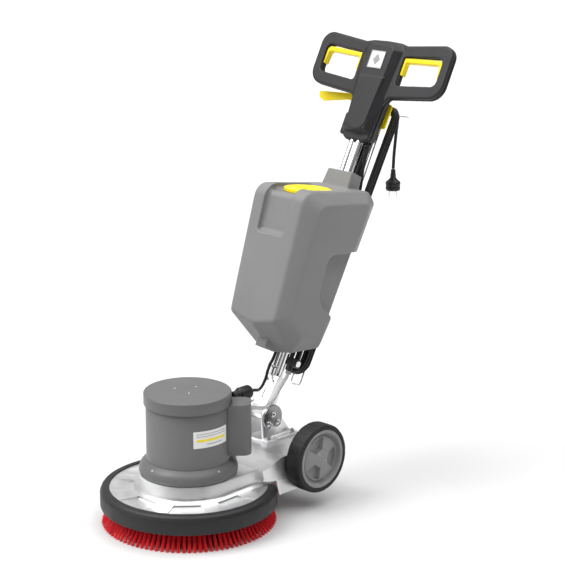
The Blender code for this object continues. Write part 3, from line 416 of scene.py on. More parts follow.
def shade(piece, material, angle=35.0):
    """Gives a piece its material and smooth shading up to an edge angle."""
    piece.data.materials.clear()
    piece.data.materials.append(material)
    piece.data.shade_smooth()
    piece.data.set_sharp_from_angle(angle=math.radians(angle))
    return piece


def show(piece, material, body, *nodes, angle=35.0):
    """Finishes a piece: its material, the body it rides on and the CAD nodes it stands for."""
    shade(piece, material, angle)
    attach(piece, body)
    if nodes:
        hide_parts(*nodes)
    return piece


# ---------------------------------------------------------------- camera, light and floor
CAMERA_PLACE = Vector((3.193, -3.2696, 1.811))
CAMERA_BACK = Vector((0.669, -0.693, 0.27))
camera_data = bpy.data.cameras.new("camera")
camera_data.lens = 116.4
camera_data.sensor_width = 36.0
camera = bpy.data.objects.new("camera", camera_data)
camera.matrix_world = facing(CAMERA_PLACE, CAMERA_BACK, Matrix.Identity(4))
bpy.context.scene.collection.objects.link(camera)
bpy.context.scene.camera = camera


def sun(name, azimuth, elevation, angle, strength):
    """A wide soft sun; azimuth and elevation say where it stands, in degrees."""
    data = bpy.data.lights.new(name, "SUN")
    data.energy = strength
    data.angle = math.radians(angle)
    light = bpy.data.objects.new(name, data)
    turn = Matrix.Rotation(math.radians(azimuth + 90.0), 4, "Z")
    light.matrix_world = turn @ Matrix.Rotation(math.radians(90.0 - elevation), 4, "X")
    bpy.context.scene.collection.objects.link(light)


def studio(walls, wall_top, ceiling):
    """A world of grey walls with bright panels at chosen turns, under a bright ceiling."""
    result = bpy.data.worlds.new("studio")
    result.use_nodes = True
    tree = result.node_tree
    place = tree.nodes.new("ShaderNodeTexCoord").outputs["Generated"]
    around = add_node(tree, "ShaderNodeTexGradient", vector=place)
    around.gradient_type = "RADIAL"
    panels = add_node(tree, "ShaderNodeValToRGB", fac=around.outputs["Fac"])
    panels.color_ramp.interpolation = "EASE"
    ramp = panels.color_ramp.elements
    while len(ramp) < len(walls):
        ramp.new(0.5)
    for element, (azimuth, brightness) in zip(ramp, walls):
        element.position = azimuth / 360.0 + 0.5
        element.color = (brightness, brightness, brightness, 1.0)
    axes = add_node(tree, "ShaderNodeSeparateXYZ", vector=place)
    upward = add_node(tree, "ShaderNodeMapRange", value=axes.outputs["Z"], from_min=wall_top[0],
                      from_max=wall_top[1])
    sky = (ceiling, ceiling, ceiling, 1.0)
    shine = mix_colours(tree, upward.outputs["Result"], panels.outputs["Color"], sky)
    fill(tree, tree.nodes["Background"].inputs["Color"], shine)
    bpy.context.scene.world = result


sun("key_sun", -125.0, 52.0, 35.0, 2.0)
sun("overhead_sun", 45.0, 84.0, 80.0, 2.3)
studio([(-180.0, 0.5), (-150.0, 0.8), (-118.0, 0.9), (-95.0, 0.25), (-50.0, 0.08), (-8.0, 0.08), (8.0, 0.34),
        (20.0, 0.34), (36.0, 0.1), (80.0, 0.2), (130.0, 0.6), (180.0, 0.5)], (0.45, 0.85), 0.8)
bpy.context.scene.view_settings.view_transform = "Standard"

FLOOR_REACH = 40.0
floor_corners = [(x * FLOOR_REACH, y * FLOOR_REACH, 0.0) for x, y in ((-1, -1), (1, -1), (1, 1), (-1, 1))]
floor = solid("floor", floor_corners, [(0, 1, 2, 3)])
FLOOR_PAINT = finish("floor_paint", (0.64, 0.64, 0.64), 0.6, 0.0, 0.004, 2.0, 0.01, 60.0, 0.03)
floor.data.materials.append(FLOOR_PAINT)

# ---------------------------------------------------------------- deck
PAD_TURNS = (0.0, -45.0, -90.0, -135.0, -180.0)
DECK_WALL = 0.004
SHELF_ROUTE = [
    (0.1165, PLATEAU_HEIGHT + 0.0002), (0.128, 0.1308), (0.14, 0.133), (0.158, 0.1392), (0.174, 0.1447),
    (0.186, 0.1478), (0.196, SHELF_HEIGHT),
]
shelf_outline = [(0.1765, 0.0507), (0.1665, 0.0912), (0.124, 0.1)]
shelf_outline += [tuple(point) for point in smooth_path(SHELF_ROUTE, 4)]
shelf_outline += [(SHELF_REAR, SHELF_HEIGHT), (SHELF_REAR, 0.098), (0.318, 0.056), (0.2348, 0.0507)]
deck = lathe("deck", [
    (0.0, 0.06), (DECK_RADIUS, 0.06), (DECK_RADIUS, RIM_HEIGHT - 0.002), (DECK_RADIUS - 0.002, RIM_HEIGHT),
    (0.0, RIM_HEIGHT),
], DECK, segments=160)
plateau_loops = []
for spread, height in ((0.017, 0.088), (0.0125, 0.0912), (0.0085, 0.0938), (0.0058, 0.0975), (0.0045, 0.103),
                       (0.0012, 0.1265), (0.0003, 0.1288), (-0.002, PLATEAU_HEIGHT)):
    edge = PLATEAU_RADIUS + spread
    plateau_outline = arc((0.0, 0.0), edge, -180.0, 0.0, 64) + [(edge, 0.168), (-edge, 0.168)]
    plateau_loops.append([(x, y, height) for x, y in plateau_outline])
shelf = extrude("shelf", shelf_outline, -SHELF_HALF_WIDTH, SHELF_HALF_WIDTH, DECK, "YZ")
unite(deck, loft("plateau", plateau_loops, DECK), shelf)
hollow_outline = [(0.18, 0.0), (0.18, 0.125), (0.195, SHELF_HEIGHT - DECK_WALL)]
hollow_outline += [(SHELF_REAR - DECK_WALL, SHELF_HEIGHT - DECK_WALL), (SHELF_REAR - DECK_WALL, 0.0)]
pad_tools = []
for pad_turn in PAD_TURNS:
    pad_frame = DECK @ Matrix.Rotation(math.radians(pad_turn), 4, "Z")
    pad_loops = []
    for inner, height in ((0.1375, RIM_HEIGHT - 0.0048), (0.1335, RIM_HEIGHT + 0.006)):
        rise = 0.0042 if height < RIM_HEIGHT else 0.0
        pad_loops.append([
            (inner, -0.033, height), (0.186, -0.046, height + rise),
            (0.186, 0.046, height + rise), (inner, 0.033, height),
        ])
    pad_tools.append(loft("pad", pad_loops, pad_frame))
under_rim = disc("under_rim", DECK_RADIUS - DECK_WALL, 0.0, RIM_HEIGHT - 0.007, DECK, segments=96)
plateau_ceiling = PLATEAU_HEIGHT - DECK_WALL
under_plateau = disc("under_plateau", PLATEAU_RADIUS - 0.006, 0.05, plateau_ceiling, DECK, segments=96)
motor_hole = disc("motor_hole", 0.0795, 0.1, 0.15, DECK)
axle_hole = disc("axle_hole", 0.0103, -0.16, 0.16, Matrix.Translation(AXLE_POINT), axis="X", segments=32)
shelf_wall = SHELF_HALF_WIDTH - DECK_WALL
under_shelf = extrude("under_shelf", hollow_outline, -shelf_wall, shelf_wall, DECK, "YZ")
cut(deck, *pad_tools)
cut(deck, under_shelf)
cut(deck, under_rim)
cut(deck, under_plateau, motor_hole, axle_hole)
soften(deck, 0.0014, 3, 28.0)
show(deck, POLISHED, "deck", "deck_plate")

BUMPER_PROFILE = [
    (0.2006, 0.047), (0.202, 0.0455), (0.2175, 0.045), (0.2192, 0.0456), (BUMPER_RADIUS, 0.0475),
    (BUMPER_RADIUS, 0.0795), (0.2196, 0.0812), (0.2188, 0.0822), (0.2176, 0.0862), (0.215, 0.0898),
    (0.2112, 0.092), (0.209, 0.0925), (0.2076, 0.0922), (0.2064, 0.0922), (0.205, 0.093), (0.199, 0.0931),
    (0.1972, 0.0926), (0.1966, 0.0914), (0.1966, 0.0903), (0.2006, 0.0903),
]
BUMPER_HALF_TURN = 132.5
BUMPER_STEPS = 168
bumper_loops = []
for step in range(BUMPER_STEPS + 1):
    angle = math.radians(-90.0 + BUMPER_HALF_TURN * (2.0 * step / BUMPER_STEPS - 1.0))
    bumper_loops.append([polar(radius, angle, height) for radius, height in BUMPER_PROFILE])
show(loft("bumper_strip", bumper_loops, DECK), BUMPER_RUBBER, "deck", "bumper", angle=50.0)

# ---------------------------------------------------------------- brush
GOLDEN_TURN = 2.399963
BRISTLE_TOP = 0.0485
tuft_random = random.Random(7)


def tuft(base_radius, tip_radius, angle, thickness, strands, vertices, faces):
    """Adds one bundle of bristles that leans outwards to the floor."""
    radial = Vector((math.cos(angle), math.sin(angle), 0.0))
    across = Vector((-radial.y, radial.x, 0.0))
    for strand in range(strands):
        turn = GOLDEN_TURN * strand
        spread = thickness * math.sqrt((strand + 0.5) / strands)
        side = spread * math.cos(turn)
        out = spread * math.sin(turn)
        splay = 1.0 + 0.35 * tuft_random.random()
        half = thickness / math.sqrt(strands) * 0.62
        start = len(vertices)
        for part in (0.0, 0.5, 1.0):
            reach = base_radius + (tip_radius - base_radius) * part ** 1.3
            opened = 1.0 + (splay - 1.0) * part
            centre = radial * (reach + out * opened) + across * side * opened
            centre.z = BRISTLE_TOP * (1.0 - part)
            for corner in range(4):
                spin = turn + corner * math.pi / 2.0
                vertices.append(centre + (radial * math.cos(spin) + across * math.sin(spin)) * half)
        for row in (0, 4):
            for corner in range(4):
                following = (corner + 1) % 4
                faces.append([start + row + corner, start + row + following,
                              start + row + 4 + following, start + row + 4 + corner])
        faces.append([start + 8 + corner for corner in range(4)])


tuft_vertices = []
tuft_faces = []
# Each row: radius at the root, radius at the floor, tufts in the row, tuft radius, strands in a tuft.
TUFT_ROWS = (
    (0.187, 0.2145, 100, 0.0034, 16), (0.174, 0.196, 76, 0.0036, 9), (0.159, 0.177, 66, 0.0036, 7),
    (0.142, 0.154, 56, 0.0036, 7), (0.123, 0.13, 46, 0.0036, 7), (0.102, 0.105, 38, 0.0036, 7),
    (0.082, 0.082, 30, 0.0036, 7),
)
for base_radius, tip_radius, count, thickness, strands in TUFT_ROWS:
    for number in range(count):
        wobble = 0.004 * (tuft_random.random() - 0.5)
        angle = 2.0 * math.pi * number / count + wobble
        tuft(base_radius, tip_radius, angle, thickness, strands, tuft_vertices, tuft_faces)
show(solid("brush_tufts", tuft_vertices, tuft_faces, DECK), BRISTLE, "brush", "bristles")
block_profile = [
    (0.03, 0.0478), (0.1905, 0.0478), (0.1925, 0.0486), (0.193, 0.05), (0.1905, 0.064), (0.1885, 0.0657),
    (0.03, 0.0657),
]
show(lathe("brush_backing", block_profile, DECK, segments=128), BLACK_PLASTIC, "brush", "brush_block")

# ---------------------------------------------------------------- motor
flange_profile = [
    (0.1, 0.1303), (0.1185, 0.1303), (0.1203, 0.1312), (0.122, 0.135), (0.1224, 0.1385), (0.122, 0.143),
    (0.1205, 0.1485), (0.1175, 0.154), (0.1135, 0.1583), (0.109, 0.1615), (0.1058, 0.1635), (0.1046, 0.1645),
    (0.1, 0.1645),
]
show(lathe("motor_bell", flange_profile, DECK, segments=160), MOTOR_PAINT, "deck", "motor_flange")
housing_profile = [
    (0.0985, 0.1648), (0.103, 0.1648), (MOTOR_RADIUS, 0.1655), (MOTOR_RADIUS, 0.3052), (0.103, 0.306),
    (0.0985, 0.306),
]
show(lathe("motor_shell", housing_profile, DECK, segments=160), MOTOR_PAINT, "deck", "motor_housing")
cap_profile = [(0.0, CAP_TOP)]
cap_profile += [(0.1043 + x, 0.332 + z) for x, z in arc((0.0, 0.0), 0.004, 90.0, 0.0, 10)]
cap_profile += [
    (CAP_RADIUS, 0.3075), (0.1078, CAP_BOTTOM), (0.0985, CAP_BOTTOM), (0.0985, 0.328), (0.0, 0.328),
]
show(lathe("motor_lid", cap_profile, DECK, segments=160), MOTOR_PAINT, "deck", "motor_cap")


def screw(name, place, radius, height, body, material=STEEL, socket=0.5):
    """A round-headed screw with a hexagon socket, its head pointing up its own Z."""
    profile = [
        (0.0, -height), (radius, -height), (radius, height * 0.35), (radius * 0.94, height * 0.62),
        (radius * 0.75, height * 0.88), (radius * 0.5, height), (0.0, height),
    ]
    head = lathe(name, profile, place, segments=32)
    cut(head, disc("socket", radius * socket, height * 0.3, height * 2.0, place, segments=6))
    return show(head, material, body)


for number, (x, y) in enumerate(((-0.035, -0.009), (-0.006, 0.034), (0.018, -0.011))):
    screw(f"lid_screw_{number}", facing((x, y, CAP_TOP), (0, 0, 1)), 0.0023, 0.001, "deck", CHROME)
for number, turn in enumerate((-3.0, 87.0, 177.0, 267.0)):
    angle = math.radians(turn)
    place = facing(polar(0.115, angle, 0.1566), polar(0.62, angle, 0.78))
    screw(f"bell_screw_{number}", place, 0.0034, 0.0022, "deck")

box_outline = rounded([
    (0.095, -0.033, 0.0), (0.156, -0.033, 0.02), (0.156, 0.033, 0.02), (0.095, 0.033, 0.0),
], 14)
capacitor_cover = extrude("capacitor_cover", box_outline, 0.178, 0.3085, CAPACITOR_FRAME)
cut(capacitor_cover, disc("motor_seat", MOTOR_RADIUS + GAP, 0.15, 0.35, DECK, segments=160))
cut(capacitor_cover, disc("cap_seat", CAP_RADIUS + GAP, CAP_BOTTOM - GAP, 0.35, DECK, segments=160))
soften(capacitor_cover, 0.0022, 3, 50.0)
bracket = block("boot_bracket", (0.118, 0.032, 0.268), (0.138, 0.068, 0.2857), CAPACITOR_FRAME)
unite(capacitor_cover, soften(bracket, 0.002, 3))
show(capacitor_cover, MOTOR_PAINT, "deck", "capacitor_box")
BOOT_X = 0.045
BOOT_Z = 0.3035
boot_profile = [
    (0.0, 0.112), (0.008, 0.112), (0.008, 0.109), (0.0108, 0.109), (0.012, 0.1098), (0.0125, 0.1115),
    (0.0125, 0.118), (0.0115, 0.119), (0.0115, 0.1205), (0.0125, 0.1215), (0.0125, 0.129), (0.0132, 0.1305),
    (0.0165, 0.1325), (0.0175, 0.135), (0.0175, 0.163), (0.017, 0.1655), (0.0155, 0.168), (0.0125, 0.1702),
    (0.0085, 0.1718), (0.0062, 0.1728), (0.0056, 0.1738), (0.0, 0.174),
]
boot = lathe("cable_sleeve", boot_profile, DECK, (BOOT_X, 0.0, BOOT_Z), "Y", 64)
show(boot, BLACK_PLASTIC, "deck", "cable_boot")


def curved_label(name, turn, half_turn, low, high, lift, material, *nodes):
    """A thin plate that follows the motor shell."""
    loops = []
    for step in range(33):
        angle = math.radians(turn + half_turn * (step / 16.0 - 1.0))
        corners = ((0.1037, low), (MOTOR_RADIUS + lift, low), (MOTOR_RADIUS + lift, high), (0.1037, high))
        loops.append([polar(radius, angle, height) for radius, height in corners])
    show(loft(name, loops, DECK), material, "deck", *nodes)


LABEL_TURN = -8.4
STRIPE_HALF_TURN = 23.5
curved_label("motor_label", LABEL_TURN, 27.7, 0.2215, 0.264, 0.0008, WHITE_LABEL, "rating_label")
curved_label("label_stripe", LABEL_TURN, STRIPE_HALF_TURN, 0.2375, 0.2435, 0.001, YELLOW_LABEL)
curved_label("label_band", LABEL_TURN, STRIPE_HALF_TURN, 0.256, 0.2575, 0.001, GREY_LABEL)
curved_label("label_second_band", LABEL_TURN, STRIPE_HALF_TURN, 0.25, 0.2515, 0.001, GREY_LABEL)
curved_label("label_line", -4.0, 13.0, 0.229, 0.231, 0.001, GREY_LABEL)

# ---------------------------------------------------------------- wheels
RIM_PROFILE = [
    (0.0, 0.179), (0.0, 0.1872), (0.012, 0.1872), (0.026, 0.1868), (0.042, 0.1856), (0.054, 0.1838),
    (0.0572, 0.1824), (0.0588, 0.18), (0.0596, 0.1786), (0.063, 0.1782), (0.065, 0.18), (0.0662, 0.188),
    (0.0672, 0.19), (0.069, 0.1908), (0.0735, 0.1908), (0.0752, 0.1902), (0.0759, 0.189), (0.0759, 0.1456),
    (0.07, 0.1456), (0.064, 0.165), (0.024, 0.168), (0.024, 0.1456), (0.0103, 0.1456), (0.0103, 0.179),
]
TYRE_PROFILE = [
    (0.0762, 0.1446), (0.08, 0.1446), (0.0838, 0.1452), (0.0864, 0.147), (0.088, 0.15), (0.0885, 0.154),
    (0.0885, 0.1822), (0.088, 0.1862), (0.0864, 0.1892), (0.0838, 0.191), (0.08, 0.1916), (0.0762, 0.1916),
]
POCKET_TURNS = (112.0, 232.0, 352.0)
TREAD_STEPS = 8
TREAD_DEPTH = 0.0012
for side_name, side in SIDES:
    wheel_frame = Matrix.Translation((0.0, AXLE_POINT.y, AXLE_POINT.z))
    rim_profile = [(radius, side * x) for radius, x in RIM_PROFILE]
    rim = lathe(f"rim_{side_name}", rim_profile, wheel_frame, axis="X", segments=128)
    tools = []
    for turn in POCKET_TURNS:
        pocket_frame = wheel_frame @ Matrix.Rotation(math.radians(side * turn), 4, "X")
        pocket_loops = []
        for depth, shrink in ((0.19, 0.0), (0.18, 0.0012), (0.174, 0.003)):
            inner = [(0.0205 + shrink, 0.0125 - shrink, 0.002), (0.0205 + shrink, shrink - 0.0125, 0.002)]
            rim_arc = arc((0.0, 0.0), 0.0555 - shrink, shrink * 900.0 - 33.0, 33.0 - shrink * 900.0, 8)
            pocket_outline = rounded(inner + [(*point, 0.0) for point in rim_arc], 4)
            pocket_loops.append([(side * depth, *point) for point in pocket_outline])
        tools.append(loft("pocket", pocket_loops, pocket_frame))
    hub_turn = math.radians(58.0)
    hub_place = (0.0, 0.0235 * math.cos(hub_turn), 0.0235 * math.sin(hub_turn))
    low, high = sorted((side * 0.18, side * 0.195))
    tools.append(disc("hub_hole", 0.0018, low, high, wheel_frame, hub_place, "X", 20))
    cut(rim, *tools)
    soften(rim, 0.0009, 2, 30.0)
    show(rim, RIM_PLASTIC, f"wheel_{side_name}", f"wheel_rim_{side_name}")
    tyre_profile = [(radius, side * x) for radius, x in TYRE_PROFILE]
    tyre = lathe(f"tyre_{side_name}", tyre_profile, wheel_frame, axis="X", segments=144)
    for vertex in tyre.data.vertices:
        spoke = vertex.co - Vector((vertex.co.x, AXLE_POINT.y, AXLE_POINT.z))
        groove = round(math.degrees(math.atan2(spoke.z, spoke.y)) / 2.5) % TREAD_STEPS == 0
        if groove and spoke.length > 0.0855:
            vertex.co -= spoke.normalized() * TREAD_DEPTH
    show(tyre, TYRE_RUBBER, f"wheel_{side_name}", f"wheel_tyre_{side_name}")

# ---------------------------------------------------------------- hinge
EAR_INNER = 0.022
EAR_OUTER = 0.03
PLATE_OUTER = 0.0353
BASE_TOP = 0.155
PIVOT_Y = PIVOT.y - DECK_AXIS.y
HINGE_BOLTS = ((PIVOT_Y, PIVOT.z), (0.2467, 0.1944), (0.28, 0.193))
ear_outline = [(0.235, BASE_TOP - 0.002)]
ear_outline += arc((PIVOT_Y, 0.2072), 0.033, 185.0, -5.0, 40)
ear_outline += [(0.333, BASE_TOP - 0.002)]
hinge_base = block("hinge_base_casting", (-0.052, 0.226, SHELF_HEIGHT + GAP), (0.052, 0.342, BASE_TOP), DECK)
for side in (-1.0, 1.0):
    near, far = sorted((side * EAR_INNER, side * EAR_OUTER))
    unite(hinge_base, extrude("ear", ear_outline, near, far, DECK, "YZ"))
cut(hinge_base, disc("pin_hole", 0.0063, -0.05, 0.05, DECK, (0.0, PIVOT_Y, PIVOT.z), "X", 32))
soften(hinge_base, 0.0016, 3)
show(hinge_base, POLISHED, "deck", "hinge_base")
plate_outline = arc((PIVOT_Y, 0.207), 0.0328, 195.0, -15.0, 40)
plate_outline += [
    (0.2915, 0.183), (0.279, 0.178), (0.2752, 0.18), (0.264, 0.201), (0.254, 0.18), (0.25, 0.178),
    (0.237, 0.185),
]
for side_name, side in SIDES:
    near, far = sorted((side * (EAR_OUTER + GAP), side * PLATE_OUTER))
    plate = soften(extrude(f"hinge_cheek_{side_name}", plate_outline, near, far, DECK, "YZ"), 0.0012, 3)
    show(plate, PLATE_STEEL, "deck", f"hinge_plate_{side_name}")
    for number, (bolt_y, bolt_z) in enumerate(HINGE_BOLTS):
        place = facing((side * PLATE_OUTER, bolt_y, bolt_z), (side, 0, 0))
        washer_profile = [(0.0, -0.0004), (0.0086, -0.0004), (0.0086, 0.001), (0.008, 0.0014), (0.0, 0.0014)]
        washer = lathe(f"hinge_washer_{side_name}_{number}", washer_profile, place, segments=48)
        show(washer, STEEL, "deck")
        bolt_frame = place @ Matrix.Translation((0.0, 0.0, 0.0012))
        screw(f"hinge_bolt_{side_name}_{number}", bolt_frame, 0.0066, 0.0032, "deck", CHROME, 0.45)
for number, (x, y) in enumerate(((0.041, 0.24), (0.041, 0.328), (-0.041, 0.24), (-0.041, 0.328))):
    place = facing((x, y, BASE_TOP + 0.0012), (0, 0, 1))
    nut = soften(disc(f"base_nut_{number}", 0.0064, -0.0016, 0.0048, place, segments=6), 0.0007, 2)
    show(nut, STEEL, "deck")
    show(disc(f"base_stud_{number}", 0.0032, 0.0, 0.0078, place, segments=24), STEEL, "deck")

# ---------------------------------------------------------------- handle foot and tubes
foot_outline = rounded([
    (-0.012, 0.095, 0.002), (-0.02, 0.04, 0.01), (-0.025, 0.012, 0.008), (-0.024, -0.01, 0.006),
    (-0.015, -0.02, 0.006), (0.0, -0.0225, 0.006), (0.012, -0.018, 0.006), (0.0165, -0.004, 0.006),
    (0.014, 0.02, 0.008), (0.012, 0.095, 0.002),
], 6)
foot = extrude("foot_casting", foot_outline, -0.0217, 0.0217, HANDLE, "YZ")
groove_outline = [(-0.005, 0.03), (0.005, 0.03), (0.0022, 0.12), (-0.0022, 0.12)]
for depth in (-0.0235, 0.0185):
    groove = extrude("groove", groove_outline, depth, depth + 0.0075, HANDLE, "XZ")
    cut(foot, groove)
for side in (-1.0, 1.0):
    cut(foot, disc("socket", TUBE_RADIUS + 0.0002, 0.0303, 0.12, HANDLE, (side * TUBE_OFFSET, 0.0, 0.0)))
cut(foot, disc("pivot_bore", 0.0063, -0.05, 0.05, HANDLE, axis="X", segments=32))
soften(foot, 0.0024, 3)
show(foot, POLISHED, "handle", "handle_foot")
for side_name, side in SIDES:
    profile = [
        (0.0085, 0.0305), (0.0097, 0.0305), (TUBE_RADIUS, 0.031), (TUBE_RADIUS, 0.769), (0.0097, 0.77),
        (0.0085, 0.77),
    ]
    tube = lathe(f"tube_{side_name}", profile, HANDLE, (side * TUBE_OFFSET, 0.0, 0.0), segments=48)
    show(tube, CHROME, "handle", f"handle_tube_{side_name}")
    screw_frame = facing((side * TUBE_OFFSET, -0.015, 0.082), (0, -1, 0), HANDLE)
    screw(f"foot_screw_{side_name}", screw_frame, 0.0042, 0.0026, "handle", CHROME)
clip = lathe("cable_clip", [
    (0.0101, 0.112), (0.0118, 0.112), (0.0122, 0.1126), (0.0122, 0.1186), (0.0118, 0.1192), (0.0101, 0.1192),
], HANDLE, (-TUBE_OFFSET, 0.0, 0.0), segments=48)
show(clip, CHROME, "handle")

# ---------------------------------------------------------------- solution tank
PANEL = [
    (-0.13, 0.236, 0.0), (-0.171, 0.5195, 0.034), (-0.008, 0.579, 0.0), (-0.002, 0.568, 0.0),
    (0.0025, 0.4531, 0.0), (0.008, 0.3, 0.0), (0.01, 0.222, 0.0), (-0.06, 0.2049, 0.0),
]
SHOULDER = [
    (-0.16, 0.212, 0.0), (-0.2145, 0.54, 0.038), (0.0135, 0.6176, 0.0), (0.0388, 0.5963, 0.0),
    (0.0345, 0.4589, 0.0), (0.0305, 0.28, 0.0), (0.032, 0.196, 0.0), (-0.04, 0.158, 0.0),
]
CENTRE = [
    (-0.154, 0.197, 0.0), (-0.219, 0.5425, 0.038), (0.0135, 0.619, 0.0), (0.0388, 0.5985, 0.0),
    (0.0345, 0.46, 0.0), (0.0305, 0.28, 0.0), (0.032, 0.187, 0.0), (-0.045, 0.1475, 0.0),
]
SHOULDER_HALF_WIDTHS = [0.076, 0.083, 0.085, 0.095, 0.095, 0.09, 0.08, 0.06]
CORNER_STEPS = 8
half_widths = []
for corner, half_width in zip(SHOULDER, SHOULDER_HALF_WIDTHS):
    half_widths += [half_width] * (CORNER_STEPS + 1 if corner[2] else 1)
tank_loops = []
for side in (-1.0, -0.5, 0.0, 0.5, 1.0):
    if abs(side) == 1.0:
        loop = [(side * (0.1006 + 0.0596 * (along - 0.247)), back, along)
                for back, along in rounded(PANEL, CORNER_STEPS)]
    elif side:
        loop = [(2.0 * side * half_width, back, along)
                for half_width, (back, along) in zip(half_widths, rounded(SHOULDER, CORNER_STEPS))]
    else:
        loop = [(0.0, back, along) for back, along in rounded(CENTRE, CORNER_STEPS)]
    tank_loops.append(loop)
tank_shell = loft("tank_shell", tank_loops, HANDLE)
tank_shell.modifiers.new("triangles", "TRIANGULATE")
mould(tank_shell, 0.003, 16)
neck_loops = []
for half, front, rear, along in ((0.05, -0.0275, 0.024, 0.57), (0.043, -0.0245, 0.02, 0.652)):
    neck_loops.append([(*point, along) for point in rounded_rectangle(half, front, rear, 0.006)])
neck = loft("neck", neck_loops, HANDLE)
foot_step = block("foot_step", (-0.018, -0.094, 0.15), (0.018, -0.052, 0.185), HANDLE)
unite(tank_shell, neck, foot_step)
RECESS_OUTLINE = [
    (-0.23, 0.406), (-0.184, 0.425), (-0.199, 0.5265), (-0.035, 0.5922), (-0.026, 0.66), (-0.26, 0.66),
    (-0.26, 0.406),
]
recess = soften(extrude("recess", RECESS_OUTLINE, -0.046, 0.046, HANDLE, "YZ"), 0.011, 5, 30.0)
seat_outline = [(-0.181, 0.5334), (-0.0355, 0.5919), (-0.0265, 0.66), (-0.181, 0.66)]
seat = soften(extrude("seat", seat_outline, -0.0665, 0.0665, HANDLE, "YZ"), 0.012, 4, 30.0)
CAP_TILT = 21.9
CAP_PLACE = Matrix.Translation((0.0, -0.1143, 0.5607))
TANK_CAP_FRAME = HANDLE @ CAP_PLACE @ Matrix.Rotation(math.radians(CAP_TILT), 4, "X")
mouth = disc("mouth", 0.05, -0.1, 0.02, TANK_CAP_FRAME, segments=64)
tube_way = block("tube_way", (-0.0235, -0.0215, 0.1), (0.0235, 0.06, 0.7), HANDLE)
NOTCH_OUTLINE = [
    (0.07, 0.47), (0.0025, 0.4531), (-0.066, 0.424), (-0.0776, 0.408), (-0.0615, 0.32),
    (-0.0366, 0.2936), (0.0257, 0.279), (0.07, 0.262),
]
tank_tools = [recess, seat, mouth, tube_way]
for side in (-1.0, 1.0):
    low, high = sorted((side * 0.078, side * 0.15))
    notch = extrude("notch", NOTCH_OUTLINE, low, high, HANDLE, "YZ")
    tank_tools.append(soften(notch, 0.009, 4, 25.0))
for tool in tank_tools:
    cut(tank_shell, tool)
mould(tank_shell, 0.0021, 5)
show(tank_shell, TANK_PLASTIC, "handle", "tank", angle=60.0)

cap_profile = [
    (0.0, 0.0078), (0.044, 0.0078), (0.046, 0.0082), (0.0475, 0.009), (0.0585, 0.009), (0.0603, 0.0082),
    (0.061, 0.0066), (0.061, 0.0008), (0.0606, 0.0003), (0.048, 0.0003), (0.048, -0.01), (0.045, -0.01),
    (0.045, 0.005), (0.0, 0.005),
]
cap = lathe("filler_cap", cap_profile, TANK_CAP_FRAME, segments=128)
grip = extrude("grip_bar", rounded_rectangle(0.04, -0.0065, 0.0065, 0.005), 0.007, 0.0105, TANK_CAP_FRAME)
unite(cap, soften(grip, 0.0015, 3))
show(cap, YELLOW_PLASTIC, "cap", "tank_cap")

HOSE_X = 0.0345
HOSE_BACK = 0.004
valve = soften(block("drain_valve", (0.0237, -0.004, 0.13), (0.045, 0.028, 0.152), HANDLE), 0.003, 3)
inlet_profile = [(0.0, 0.145), (0.0075, 0.145), (0.0075, 0.177), (0.0068, 0.1795), (0.0, 0.1795)]
outlet_profile = [(0.0, 0.1125), (0.005, 0.1125), (0.0062, 0.115), (0.0056, 0.119), (0.0062, 0.1195),
                  (0.0056, 0.124), (0.0062, 0.1245), (0.0062, 0.14), (0.0, 0.14)]
unite(valve, lathe("inlet", inlet_profile, HANDLE, (HOSE_X, 0.02, 0.0), segments=32),
      lathe("outlet", outlet_profile, HANDLE, (HOSE_X, HOSE_BACK, 0.0), segments=32))
show(valve, BLACK_PLASTIC, "handle", "tank_valve")
tap = lathe("valve_tap", [
    (0.0, 0.044), (0.008, 0.044), (0.0085, 0.045), (0.0085, 0.05), (0.0076, 0.0512), (0.0, 0.0512),
], HANDLE, (0.0, 0.012, 0.141), "X", 12)
show(tap, CHROME, "handle")
hose_nut = lathe("hose_nut", [
    (0.005, 0.109), (0.0072, 0.109), (0.0078, 0.1098), (0.0078, 0.116), (0.0068, 0.117), (0.005, 0.117),
], HANDLE, (HOSE_X, HOSE_BACK, 0.0), segments=24)
show(hose_nut, CLEAR_HOSE, "handle")
hose_socket = lathe("hose_socket", [
    (0.0, 0.133), (0.0105, 0.133), (0.0105, 0.1372), (0.008, 0.1385), (0.0074, 0.144), (0.0066, 0.1445),
    (0.0, 0.1445),
], DECK, (0.01, 0.143, 0.0), segments=32)
show(hose_socket, BLACK_PLASTIC, "deck")

# ---------------------------------------------------------------- cord hooks
LOWER_ALONG = 0.1512
LOWER_BACK = 0.083
lower_side = [
    (0.016, 0.0112, LOWER_ALONG), (0.016, 0.04, LOWER_ALONG), (0.016, 0.072, LOWER_ALONG),
    (0.016, 0.08, LOWER_ALONG - 0.003), (0.016, LOWER_BACK, LOWER_ALONG - 0.011), (0.016, LOWER_BACK, 0.12),
    (0.016, LOWER_BACK, 0.102), (0.0135, LOWER_BACK, 0.0965), (0.008, LOWER_BACK, 0.0945),
]
lower_path = smooth_path(lower_side + mirrored(lower_side), 6)
show(sweep("lower_hook_wire", lower_path, 0.0023, HANDLE), CHROME, "handle", "lower_cord_hook", angle=60.0)
CLAMP_ALONG = 0.505
rod_side = [
    (0.0045, 0.0685, CLAMP_ALONG + 0.0085), (0.0045, 0.0685, 0.66), (0.0045, 0.0685, 0.82),
    (0.0045, 0.07, 0.8345), (0.0045, 0.077, 0.8407), (0.0045, 0.118, 0.8528), (0.0045, 0.156, 0.8639),
    (0.0032, 0.16, 0.8651),
]
upper_path = smooth_path(rod_side + mirrored(rod_side), 6)
show(sweep("upper_hook_wire", upper_path, 0.002, HANDLE), CHROME, "handle", "upper_cord_hook", angle=60.0)
clamp = block("rod_clamp", (-0.009, 0.0106, CLAMP_ALONG - 0.012), (0.009, 0.074, CLAMP_ALONG + 0.008), HANDLE)
